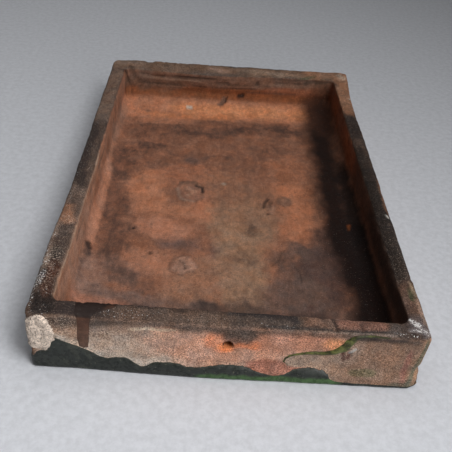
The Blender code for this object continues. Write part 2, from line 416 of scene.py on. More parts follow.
def form_panel(panel, columns, rows, settings):
    """Spread the sunk panel of the face inside the ogee"""
    blank = np.rint(coordinates(panel.data)).astype(int)
    inset = ring_points(LIP * 0.0 + BORDER + OGEE_WIDTH + 3 * MM, PANEL_DEPTH, PANEL_CORNER)
    inset = as_made(inset, settings.rim_height, settings.floor_height)[::PANEL_SHARE]
    set_coordinates(panel.data, spread_sheet(blank[:, 0], blank[:, 1], columns, rows, inset))
    set_values(panel.data, "station", np.full(len(blank), PANEL))


def press_tray(settings):
    """Model the whole tray in true shape, closed and with its faces outwards"""
    rings = inside_section(settings.floor_height, settings.rim_height)
    rings += outside_section(settings.rim_height) + face_section()
    tray = add_blank("stove_tile", ACROSS, ALONG)
    draw_sides(len(rings) - 1)
    form_tray(tray, rings, settings)
    columns, rows = ACROSS // PANEL_SHARE, ALONG // PANEL_SHARE
    panel = add_blank("panel", columns, rows)
    form_panel(panel, columns, rows, settings)
    tray.select_set(True)
    bpy.context.view_layer.objects.active = tray
    bpy.ops.object.join()
    bpy.ops.object.mode_set(mode="EDIT")
    bpy.ops.mesh.select_mode(type="EDGE")
    bpy.ops.mesh.select_all(action="DESELECT")
    bpy.ops.mesh.select_non_manifold()
    bpy.ops.mesh.bridge_edge_loops()
    bpy.ops.mesh.select_all(action="SELECT")
    bpy.ops.mesh.normals_make_consistent(inside=False)
    bpy.ops.object.mode_set(mode="OBJECT")
    bpy.ops.object.shade_smooth()
    return tray


def refine(mesh, chosen):
    """Split each chosen face into four"""
    bpy.ops.object.mode_set(mode="EDIT")
    bpy.ops.mesh.select_mode(type="FACE")
    bpy.ops.mesh.select_all(action="DESELECT")
    bpy.ops.object.mode_set(mode="OBJECT")
    mesh.polygons.foreach_set("select", chosen)
    bpy.ops.object.mode_set(mode="EDIT")
    bpy.ops.mesh.subdivide(number_cuts=1)
    bpy.ops.object.mode_set(mode="OBJECT")


# From here on places are in millimetres, as they are marked out on the clay

# Where the near end begins, the line that its left corner turns on, and its rim's outer edge
NEAR_END = -150.0
NEAR_CORNER = -165.0
NEAR_LIP = -165.6
# Depth of a vertex that a layer doesn't reach
NOWHERE = -20.0
# How high the drip stands, how deep the clay was scoured, and where the hole's bare ring ends
DRIP_THICKNESS = 0.22
SCOURED_DEPTH = 0.25
HOLE_RING = (2.5, 3.3)


def lumps(points, size, octaves=3, seed=0):
    """Smooth unevenness from about -1 to 1, with lumps of this size"""
    shift = Vector((7.31, 3.17, 5.93)) * seed
    return np.array([noise.fractal(Vector(point) / size + shift, 1.0, 2.0, octaves)
                     for point in points])


def nearness(points, path, size):
    """Distance of points from a path, counted in the sizes given along each axis"""
    scaled = points / np.array(size, dtype=float)
    knots = np.array(path, dtype=float).reshape(-1, points.shape[1]) / size
    nearest = np.linalg.norm(scaled - knots[0], axis=1)
    for start, end in zip(knots, knots[1:]):
        run = end - start
        share = np.clip((scaled - start) @ run / (run @ run), 0.0, 1.0)[:, None]
        nearest = np.minimum(nearest, np.linalg.norm(scaled - start - share * run, axis=1))
    return nearest


def depth_inside(plan, outline):
    """How deep points of the plan lie inside a closed outline, and below 0 outside it"""
    knots = np.array(outline, dtype=float)
    nearest = nearness(plan, np.vstack((knots, knots[:1])), (1.0, 1.0))
    inside = np.zeros(len(plan), dtype=bool)
    for (u0, v0), (u1, v1) in zip(knots, np.roll(knots, -1, axis=0)):
        crosses = (plan[:, 1] < v0) != (plan[:, 1] < v1)
        if v0 != v1:
            inside ^= crosses & (plan[:, 0] < u0 + (u1 - u0) * (plan[:, 1] - v0) / (v1 - v0))
    return np.where(inside, nearest, -nearest)


class Surface:
    """Where the tile's vertices lie: places in millimetres, stations, sides and unevenness"""

    def __init__(self, mesh):
        self.points = coordinates(mesh) / MM
        station = np.empty(len(self.points), dtype=np.float32)
        mesh.attributes["station"].data.foreach_get("value", station)
        self.station = station
        x, y, z = self.points.T
        low, high = np.array(LOW) / MM, np.array(HIGH) / MM
        self.from_sides = np.stack((y - low[1], high[0] - x, high[1] - y, x - low[0]))
        self.side = self.from_sides.argmin(axis=0)
        self.inside = 1.0 - ease(INNER_LIP, RIM_IN - 0.1, station)
        self.outside = ease(RIM_OUT + 0.1, OUTER_LIP, station)
        self.rim = 1.0 - self.inside - self.outside
        self.face = ease(FACE_EDGE - 0.05, FACE_EDGE + 0.1, station)
        self.waver = lumps(self.points, 22.0, 5, seed=1)
        self.ripple = lumps(self.points, 5.0, 3, seed=2)
        # The near wall unrolled: x, and the way up the wall and on over its rim
        round_corner = (self.side == 3) & (y < NEAR_END)
        self.near_plan = np.stack((np.where(round_corner, x - y + NEAR_CORNER, x),
                                   z + np.clip(y - NEAR_LIP, 0.0, None) * (self.side == 0)), axis=1)
        self.near_wall = ((self.side == 0) | round_corner) & (station > INNER_LIP)

    def on_side(self, name):
        """Share of each vertex that belongs to one side's wall, blended at the corners"""
        mine = self.from_sides[WALLS.index(name)]
        others = np.delete(self.from_sides, WALLS.index(name), axis=0).min(axis=0)
        return ease(-4.0, 4.0, others - mine)

    def cover(self, patch):
        """How far a mark covers each vertex, from 0 to 1"""
        away = nearness(self.points[:, :len(patch.size)], patch.path, patch.size)
        away = away + patch.waver * (0.7 * self.waver + 0.3 * self.ripple)
        return 1.0 - ease(1.0 - patch.soft, 1.0 + patch.soft, away)


def mark(path, size, colour=None, strength=1.0, soft=0.45, waver=0.6, height=0.0, **also):
    """A stain, pit or ridge round a path, in millimetres; one in plan reaches every height"""
    return SimpleNamespace(path=path, size=size, colour=colour, strength=strength, soft=soft,
                           waver=waver, height=height, also=also)


# Colours of the clay and of what lies on it
CLAY = (0.255, 0.112, 0.066)
ORANGE = (0.425, 0.178, 0.098)
# Bare orange brightened as a painted highlight, for the far cove's middle
ORANGE_HIGHLIGHT = (0.560, 0.225, 0.105)
FOX = (0.290, 0.118, 0.064)
BUFF = (0.245, 0.135, 0.084)
PALE_BUFF = (0.390, 0.270, 0.195)
UMBER = (0.152, 0.086, 0.060)
BLACK_SOOT = (0.055, 0.036, 0.030)
PURPLE = (0.082, 0.046, 0.038)
SAND = (0.370, 0.262, 0.195)
SALMON = (0.320, 0.140, 0.098)
SCOURED = (0.246, 0.149, 0.102)
TAR = (0.018, 0.012, 0.010)
# Soot black, deepened into painted shadow beside the right wall
SOOT_AND_SHADOW_BLACK = (0.007, 0.002, 0.001)
RUST = (0.060, 0.020, 0.010)
RIM_BROWN = (0.115, 0.078, 0.060)
BARE_PATCH = (0.330, 0.170, 0.105)
DULL_PATCH = (0.155, 0.105, 0.078)
NEAR_WALL = (0.440, 0.275, 0.200)
CRUST = (0.520, 0.425, 0.345)
WALL_SOOT = (0.078, 0.055, 0.044)
SIDE_SOOT = (0.085, 0.062, 0.050)
HOLE_CLAY = (0.560, 0.190, 0.070)
HOLE_SHADE = (0.020, 0.009, 0.007)

# Colours that the material lays over the tint
DARK_SPECKS = (0.035, 0.022, 0.018)
SAND_GRAINS = (0.56, 0.44, 0.35)
SOOT_COAT = (0.034, 0.024, 0.022)
PALE_FLECKS = (0.300, 0.225, 0.180)
BURNT_DRIP = (0.012, 0.007, 0.006)
DUSTY_GLAZE = (0.060, 0.064, 0.050)
GLAZE_SPECKS = (0.16, 0.16, 0.12)
SOOTY_OLIVE = (0.026, 0.023, 0.015)
COOLER = (0.940, 1.020, 1.090)
WARMER = (1.065, 0.980, 0.910)

INSIDE_STAINS = (
    # Walls above the coves
    mark(((-95, 156, 34), (95, 156, 34)), (20, 22, 12), (0.19, 0.104, 0.07), soft=0.3),
    mark(((100, 160, 30), (100, -160, 30)), (14, 20, 16), (0.19, 0.082, 0.048), soft=0.5),
    mark(((97, 10, 30), (97, -130, 30)), (8, 16, 12), (0.084, 0.046, 0.033), 0.9, soft=0.9),
    mark(((-100, 150, 30), (-100, -150, 30)), (10, 20, 14), (0.33, 0.162, 0.1), soft=0.5),
    mark(((-96, -40, 26), (-96, -150, 26)), (6, 14, 9), (0.35, 0.19, 0.128), 0.8, soft=0.5),
    mark(((-90, -104, 14), (-78, -126, 14), (-50, -134, 14)), (14, 16, 7), (0.27, 0.16, 0.12), 0.75,
         waver=0.8),
    # Bare orange clay of the far cove, brightened along its middle as a painted highlight
    mark(((-95, 127, 15), (95, 129, 15)), (18, 17, 7), ORANGE, soft=0.3, waver=0.45),
    mark(((-30, 128, 15), (62, 129, 16)), (22, 10, 5), ORANGE_HIGHLIGHT, waver=0.45),
    mark(((-52, 116), (-8, 118)), (18, 5), (0.5, 0.185, 0.08), 0.8),
    mark(((-88, 148, 20), (90, 150, 20.5)), (18, 7, 5), (0.195, 0.064, 0.025), 0.96, waver=0.45),
    mark(((46, 150, 25), (84, 151, 25)), (14, 6, 4), (0.27, 0.1, 0.052), 0.8, waver=0.7),
    mark(((-90, 150, 25), (-48, 149, 24)), (10, 6, 5.5), (0.15, 0.086, 0.058), 0.8, waver=0.8),
    # Sooty tide line before it
    mark(((-81, 86, 12), (-53, 91, 12), (-23, 88, 12), (2, 94, 12), (30, 103, 12), (53, 99, 12),
         (76, 90, 12)), (14, 13, 6), soot=0.72, waver=0.8),
    mark(((-20, 106), (70, 112)), (12, 6), soot=0.55, waver=0.8),
    mark(((-36, 88), (-14, 85), (4, 94), (18, 101)), (9, 6), soot=0.92, soft=0.7, waver=1.1),
    mark(((36, 102), (55, 98), (74, 89)), (9, 5), soot=0.9, waver=0.9),
    mark(((-86, 61, 12), (-70, 62, 12), (-56, 61, 12)), (9, 6, 4), soot=0.74, soft=0.7, waver=1.1),
    # Thin grey veils
    mark(((-72, 36, 12), (-46, 48, 12), (-22, 44, 12)), (24, 20, 6), soot=0.5, waver=0.9),
    mark(((-60, 73), (25, 74)), (18, 13), soot=0.5, waver=0.9),
    mark(((4, 30), (36, 66)), (24, 18), soot=0.56, waver=0.9),
    mark(((30, -20), (24, -50)), (12, 18), soot=0.34, waver=0.9),
    mark(((-92, 110, 17), (-94, 30, 18)), (6, 20, 7), (0.34, 0.205, 0.148), 0.4, soot=0.22, waver=0.9),
    mark(((-97, 150, 26), (-97, -150, 26)), (6, 20, 5), soot=0.28, waver=1),
    # Soot along the left, and its branches
    mark(((-84, 50, 12), (-82, 29, 12), (-80, 7, 12), (-77, -14, 12), (-76, -40, 12), (-74, -62, 12),
         (-68, -88, 12), (-60, -106, 12), (-50, -120, 12)), (12, 12, 6), soot=0.8, waver=0.9),
    mark(((-88, -88, 13), (-80, -112, 13), (-62, -128, 13)), (13, 16, 7), soot=0.52, waver=0.9),
    mark(((-67, -92), (-55, -114)), (9, 8), (0.21, 0.145, 0.12), 0.4, soot=0.84, soft=0.8, waver=1.3),
    mark(((-59, -55), (-40, -68), (-25, -69), (-8, -70), (3, -66)), (9, 6), soot=0.55, waver=1),
    mark(((-38, -64), (-24, -67)), (8, 7), (0.12, 0.074, 0.062), 0.8, soft=0.8),
    mark(((-8, -69), (-5, -78)), (6, 7), (0.125, 0.078, 0.064), 0.7, soft=0.8, soot=0.4),
    # Bare orange places on the floor
    mark(((-60, 8), (-54, -20)), (14, 12), (0.4, 0.168, 0.092), 0.95, waver=0.8),
    mark(((-46, -26), (-18, -28)), (12, 10), (0.4, 0.168, 0.092), 0.75, waver=0.8),
    mark(((-28, 24), (-10, -18)), (18, 14), (0.35, 0.138, 0.076), 0.5, waver=0.9),
    mark(((-50, -48), (-36, -52)), (12, 9), (0.385, 0.172, 0.105), 0.8, waver=0.8),
    mark(((-56, -82), (-42, -88)), (9, 10), (0.345, 0.152, 0.09), 0.75, waver=0.8),
    mark(((47, 40), (50, -8), (50, -42)), (14, 14), FOX, 0.9, waver=0.8),
    mark(((50, 4), (51, -34), (50, -46)), (10, 12), (0.38, 0.15, 0.078), 0.75, waver=0.9),
    mark(((-66, 106), (-40, 108)), (12, 6), ORANGE, 0.5, waver=0.8),
    # Dusty olive wipes down the middle
    mark(((10, -30), (8, -112)), (17, 20), (0.275, 0.158, 0.098), 0.9, waver=0.7),
    mark(((-8, -92), (-30, -122)), (17, 16), (0.27, 0.145, 0.092), 0.6, waver=0.7),
    mark(((0, 10), (14, -20)), (18, 20), (0.235, 0.12, 0.074), 0.6, waver=0.9),
    # The brown corner under the right wall
    mark(((75, -58, 12), (60, -86, 12), (56, -116, 12)), (24, 18, 8), PURPLE, 0.87, soft=0.4, waver=0.7,
         soot=0.62),
    mark(((74, -40), (62, -58)), (10, 11), (0.12, 0.062, 0.044), 0.7, waver=0.9),
    mark(((-66, -119), (-34, -127)), (13, 9), (0.155, 0.102, 0.085), 0.6, soot=0.5, waver=1.1),
    mark(((-16, -131), (56, -132)), (18, 11), (0.118, 0.079, 0.065), 0.6, soot=0.84, waver=0.9),
    mark(((-80, -131, 14), (-40, -130, 14)), (14, 8, 8), soot=0.76, waver=1),
    mark(((55, -68), (60, -82)), (12, 12), (0.08, 0.047, 0.038), 0.75, waver=0.9),
    mark(((32, -116), (46, -104)), (12, 13), (0.11, 0.072, 0.058), 0.7, waver=0.8),
    mark(((54, -113), (66, -126)), (9, 7), (0.145, 0.082, 0.06), 0.5, waver=0.8),
    mark(((10, -78), (20, -84)), (10, 8), soot=0.58, waver=0.9),
    mark(((16, -47),), (5, 6), soot=0.8, soft=0.7, waver=1),
    mark(((34, -76), (48, -66)), (10, 9), (0.094, 0.056, 0.043), 0.75, waver=1),
    mark(((38, -90), (31, -112)), (9, 10), (0.13, 0.074, 0.056), 0.7, waver=0.9),
    # Lampblack on the floor's right edge and the lower wall over it, its black deepened into a painted
    # shadow of the right wall
    mark(((84, 158, 16), (79, 118, 13), (79, 60, 12), (77, 0, 12), (77, -50, 12), (82, -100, 12),
         (87, -146, 14)), (13, 15, 6), SOOT_AND_SHADOW_BLACK, 0.98, soft=0.72, waver=0.35),
    mark(((95, 130, 18), (94, 80, 18), (94, 40, 18)), (5, 16, 5), (0.105, 0.046, 0.028), 0.6, soft=0.8),
    mark(((89, -50, 12), (90, -150, 13)), (10, 18, 6), SOOT_AND_SHADOW_BLACK, 0.97, soft=0.4, waver=0.2),
    mark(((89, 30, 13), (88.5, -70, 13)), (8, 18, 5), (0.01, 0.005, 0.004), 0.92, soft=0.6),
    mark(((97, -60, 31), (97, -152, 32)), (12, 18, 8), (0.046, 0.028, 0.022), 0.85, soft=0.5),
    # Painted shadow in the right end of the far cove
    mark(((88, 146, 22), (86, 120, 15)), (12, 18, 12), (0.105, 0.04, 0.021), 0.8, soft=0.8),
    mark(((98, 148, 27), (97, 36, 26)), (5, 22, 10), (0.34, 0.105, 0.042), 0.85, soft=0.6),
    mark(((84, 142, 15), (83, 112, 13)), (7, 12, 5), SOOT_AND_SHADOW_BLACK, 0.75, soft=0.8),
    # The near left corner and the left cove
    mark(((-86, -124, 14), (-66, -127, 14)), (9, 5, 6), (0.37, 0.15, 0.092), 0.45),
    mark(((-92, 20, 15), (-92, -62, 15)), (5, 14, 5), (0.385, 0.18, 0.112), 0.8),
    mark(((-94, -10, 37), (-95, -152, 39)), (2.2, 12, 2.2), (0.43, 0.3, 0.215), 0.85, soft=0.5, sand=0.4),
)

INSIDE_MARKS = (
    # Ring-shaped pad of pressed clay, with the gouge at its right edge
    mark(((-28, -3.5),), (10.5, 14.5), (0.13, 0.076, 0.055), 0.75, height=0.6, soft=0.12, waver=0.35),
    mark(((-27.5, -3.5),), (8.8, 12.5), (0.25, 0.12, 0.078), 0.92, height=-0.7, soft=0.16, waver=0.4),
    mark(((-30, 2), (-24, -2), (-29, -8)), (1.6, 2.2), (0.33, 0.185, 0.125), 0.6, height=0.25, waver=1),
    mark(((-37, 0), (-34, -13), (-25, -16)), (1.3, 1.6), (0.33, 0.2, 0.14), 0.5, height=0.15),
    mark(((-23.5, 6.5), (-19.2, 4), (-18.4, -2)), (1.1, 1.7), TAR, 0.85, height=-0.8),
    mark(((-35, 8), (-24, 9.5), (-20, 6)), (1.6, 1.8), (0.15, 0.08, 0.052), 0.6, height=-0.25),
    # Crumbled patch
    mark(((-28, -87.5),), (7.8, 9.4), (0.09, 0.052, 0.04), 0.55, height=-0.35, soft=0.16, waver=0.55),
    mark(((-27.6, -87),), (6.6, 8), (0.345, 0.18, 0.12), 0.9, height=0.75, soft=0.2, crumble=0.9, sand=0.15),
    mark(((-31, -84), (-28, -86), (-27, -91)), (0.8, 1), TAR, 0.55, height=-0.4, waver=1.3),
    # Crescent of pits and the small ring beside it
    mark(((29, -7), (26, -12), (25.5, -17)), (1, 1.4), TAR, 0.7, height=-0.7, waver=0.9),
    mark(((28.5, -25),), (1.4, 1.6), TAR, 0.7, height=-0.5),
    mark(((31, -11), (29.5, -17)), (1.2, 1.8), TAR, 0.5, height=-0.5, waver=1.2),
    mark(((31, -19),), (3, 5), (0.28, 0.155, 0.105), 0.6, height=0.3),
    mark(((41, -10),), (4.6, 6), (0.13, 0.078, 0.055), 0.7, height=0.35, soft=0.3, waver=0.9),
    mark(((41, -10),), (3, 4), (0.27, 0.13, 0.08), 0.9, height=-0.5, soft=0.3, waver=0.7),
    # Small pits, smudges and flecks
    mark(((-63.5, -50.3, 12),), (1.5, 2.1, 2), TAR, 0.9, height=-0.8, soft=0.3, waver=0.2),
    mark(((-50, -77),), (1.5, 1.9), TAR, 0.7, height=-0.6, soft=0.3, waver=0.2),
    mark(((41.5, -74),), (1.6, 2.4), height=-0.4),
    mark(((-30, 42), (-26, 41)), (4, 6), (0.09, 0.056, 0.046), 0.75, soft=0.7, waver=0.4),
    mark(((-18, 46),), (3.5, 4.5), (0.11, 0.07, 0.056), 0.6, soft=0.8, waver=0.4),
    mark(((-89.8, -73, 15), (-88.8, -76, 14)), (1.7, 2, 2.6), TAR, 0.85, height=-0.9, soft=0.35, waver=0.9),
    mark(((-90, -80, 15),), (3.4, 6.5, 3), soot=0.85, height=-0.2, waver=0.9),
    mark(((-95.5, 20, 29), (-95.5, -40, 31), (-95.5, -84, 30)), (4, 8, 0.8), (0.13, 0.085, 0.064), 0.7,
         height=-0.4, waver=0.5),
    mark(((-3, 10.5),), (1.4, 1.6), PALE_BUFF, 0.8, height=0.15),
    mark(((-35.6, 132), (-33, 132.4)), (1.3, 1.6), (0.64, 0.52, 0.42), 0.95, height=0.3, soft=0.25,
         waver=0.3),
    mark(((-7, 139.5, 14.3), (-3.4, 146.5, 16.4)), (2.3, 2.8, 3.6), (0.15, 0.082, 0.056), 0.92, height=-1.1,
         soft=0.2, waver=0.4),
    mark(((-2.6, 143, 15.4), (-1.4, 147.5, 17)), (0.9, 1.8, 2.6), TAR, 0.8, height=-0.6, soft=0.3),
    mark(((9.4, 149.5, 18.4), (13.5, 150, 18.8)), (1.6, 3, 2), TAR, 0.85, height=-0.8, soft=0.3),
    # Hair cracks and scratches
    mark(((-90, 130, 15), (-68, 122, 13), (-52, 119, 12.5), (-41, 118, 12.5)), (0.8, 0.8, 1.5), UMBER, 0.8,
         height=-0.3, waver=0.15),
    mark(((39, -64), (35, -70), (32.5, -77), (28, -84)), (0.6, 0.8), TAR, 0.35, height=-0.2, waver=0.5),
    mark(((43, -84), (46, -90), (45.5, -98)), (0.7, 0.9), TAR, 0.45, height=-0.25, waver=0.3),
    # Rust glints in the blackened right wall
    mark(((84.6, -34, 13.2), (84.2, -39, 13.2)), (1, 1.3, 1.3), (0.2, 0.055, 0.014), 0.9, waver=0.9),
    # Folds where the far wall's clay was pressed on in slabs
    mark(((-92, 150, 36), (-90, 149, 27), (-86.5, 147, 18)), (1.2, 4, 2.4), TAR, 0.85, height=-1.2,
         waver=0.5),
    mark(((-76, 150, 33), (-56, 149, 31.4), (-34, 148, 32.2), (-4, 147, 30.6)), (4, 5, 0.8), TAR, 0.5,
         height=-1, waver=0.8),
    mark(((-78, 150, 31.4), (-56, 149, 29.8), (-30, 148, 30.4)), (6, 5, 1.2), (0.23, 0.135, 0.092), 0.6,
         height=0.4, waver=0.8),
    mark(((-80, 150, 26), (-50, 149, 25), (-10, 147, 24.6), (22, 148, 25.4)), (4, 5, 0.8),
         (0.06, 0.036, 0.026), 0.7, height=-0.8, waver=0.9),
    mark(((-48, 149, 34.4), (-30, 148, 33.4), (-14, 147, 34)), (3, 5, 0.7), TAR, 0.7, height=-0.8,
         waver=0.8),
    mark(((-20, 147, 28), (16, 148, 28.6), (48, 150, 28)), (4, 5, 0.7), (0.07, 0.044, 0.032), 0.6,
         height=-0.6, waver=0.9),
    mark(((34, 149, 33), (58, 151, 32.4), (80, 152, 33)), (4, 5, 0.8), TAR, 0.55, height=-0.8, waver=0.9),
    mark(((70, 151, 34.5), (86, 152, 34)), (3, 5, 1.4), (0.06, 0.046, 0.034), 0.8, height=-0.4, waver=1),
    mark(((30, 149, 30), (60, 151, 29)), (6, 5, 1.6), (0.215, 0.13, 0.09), 0.5, height=0.35, waver=0.9),
    mark(((20, 148, 22), (60, 151, 21.6)), (4, 5, 0.6), (0.1, 0.05, 0.034), 0.6, height=-0.5, waver=0.7),
    mark(((25.8, 149, 31.2),), (2.5, 5, 1.7), (0.07, 0.042, 0.03), 0.9, height=-1, soft=0.25, waver=0.4),
    mark(((25.4, 149, 31.4),), (1, 5, 0.8), (0.23, 0.14, 0.095), 0.9, height=0.4, soft=0.3, waver=0.3),
)

RIM_STAINS = (
    # Near rim
    mark(((-100, -160), (100, -160)), (10, 12), (0.095, 0.058, 0.041), soft=0.3, soot=0.58),
    mark(((-84, -157), (-50, -158)), (10, 5), BLACK_SOOT, 0.72, soot=0.95),
    mark(((-60, -158), (-48, -158)), (6, 5), (0.045, 0.03, 0.025), 0.75, waver=1.1),
    mark(((-89, -155.5),), (5, 2.5), (0.15, 0.09, 0.066), 0.7, waver=0.9),
    mark(((2, -159), (32, -159)), (5, 6), (0.04, 0.034, 0.032), 0.95, soot=0.95),
    mark(((-80, -160, 37), (20, -162, 37)), (16, 3.4, 4), (0.12, 0.08, 0.06), 0.6, waver=1.1),
    mark(((43, -158), (55, -158)), (5, 5), (0.185, 0.108, 0.078), 0.75, waver=1),
    mark(((60, -158), (78, -158)), (6, 4), (0.215, 0.106, 0.077), 0.85, soot=0.3),
    mark(((88, -160), (94, -163)), (4, 5), (0.085, 0.064, 0.055), 0.8, waver=1),
    mark(((-98, -161), (-76, -163)), (9, 7), (0.04, 0.028, 0.024), 0.8, waver=0.9, soot=0.8),
    # Left rim
    mark(((-101, -140), (-101, 150)), (9, 14), (0.15, 0.098, 0.074), soft=0.3, soot=0.7, sand=0.45),
    mark(((-100, -40), (-99, 40)), (10, 13), (0.043, 0.029, 0.024), 0.9, waver=1.1, soot=0.95, sand=0.45),
    mark(((-98, 56), (-98, 70)), (8, 9), (0.15, 0.098, 0.072), 0.6, waver=1.1),
    mark(((-99, 100), (-98, 112)), (7, 8), (0.085, 0.055, 0.042), 0.7, waver=1.1, soot=0.8),
    mark(((-101, -108), (-104, -118)), (7, 7), (0.08, 0.052, 0.042), 0.6, waver=1.1, soot=0.8),
    mark(((-101, -84), (-102, -140)), (5, 12), BLACK_SOOT, 0.4, waver=1, soot=0.85, sand=0.7),
    mark(((-95.5, 30), (-95.5, -60)), (2.6, 14), (0.15, 0.094, 0.068), 0.4, waver=1.1),
    mark(((-102, -70), (-101, -80)), (4.6, 7), (0.3, 0.15, 0.09), 0.95, waver=0.9),
    mark(((-105, -66, 37), (-105, -108, 37)), (2.2, 10, 5), (0.23, 0.122, 0.08), 0.5, waver=1),
    mark(((-99, 90), (-99, 130)), (6, 16), (0.18, 0.11, 0.078), 0.6, waver=0.9),
    # Right rim
    mark(((100, -160, 35), (100, 160, 36)), (10, 12, 6), (0.06, 0.04, 0.032), soft=0.3, soot=0.55),
    mark(((100, 166, 36), (100, 100, 36)), (10, 16, 6), (0.31, 0.155, 0.09), 0.97, waver=0.9),
    mark(((102, -130), (102, -150)), (9, 12), (0.125, 0.07, 0.049), 0.95, waver=0.8),
    mark(((99, 78), (101, -100)), (9, 10), (0.029, 0.02, 0.017), 0.92, soft=0.7, waver=1.3),
    mark(((99, 42), (101, 12)), (5.5, 10), (0.12, 0.074, 0.053), 0.5, waver=1.2),
    mark(((100, -88), (101, -112)), (6, 10), (0.078, 0.056, 0.047), 0.4, waver=1.3, sand=0.3),
    mark(((96, 30), (97, -30), (97, -112)), (5.5, 9), (0.021, 0.015, 0.012), 0.85, soft=0.7, waver=1.2),
    # Painted highlight along the right rim's outer edge, at its near end
    mark(((104.5, -138), (105, -156)), (1.8, 8), (0.36, 0.24, 0.18), 0.7, waver=1),
    mark(((104.6, -14), (104.8, -42)), (1.5, 7), (0.26, 0.125, 0.072), 0.75, soft=0.8, waver=1.3),
    # Painted highlight along the right rim's outer edge, towards its far end
    mark(((105, 120, 35), (105, 50, 35)), (1.3, 12, 4), (0.33, 0.175, 0.105), 0.5, waver=1.1),
    # Far rim
    mark(((-100, 162), (100, 162)), (10, 10), (0.175, 0.108, 0.074), soft=0.3, soot=0.3),
    mark(((-6, 170), (20, 170)), (9, 3.6), (0.07, 0.066, 0.064), 0.95, waver=0.9),
    mark(((36, 170), (54, 170)), (8, 3.6), (0.07, 0.066, 0.064), 0.95, waver=0.9),
    mark(((76, 162), (104, 162)), (10, 12), (0.29, 0.15, 0.09), 0.95),
    mark(((-100, 165), (-84, 165)), (8, 6), (0.23, 0.15, 0.108), 0.7),
    mark(((-16, 160), (-4, 158)), (7, 4), (0.33, 0.205, 0.15), 0.7, waver=0.9),
    mark(((20, 160), (60, 158)), (8, 4), (0.3, 0.2, 0.14), 0.65, waver=0.9),
    mark(((66, 154), (76, 158)), (4, 3), (0.09, 0.088, 0.05), 0.75, waver=1),
    mark(((84, 155), (92, 156)), (3, 3), (0.1, 0.07, 0.045), 0.6, waver=1),
    mark(((-86, 170, 37), (-50, 170, 37)), (12, 3, 4), (0.24, 0.15, 0.105), 0.6, waver=0.9),
)

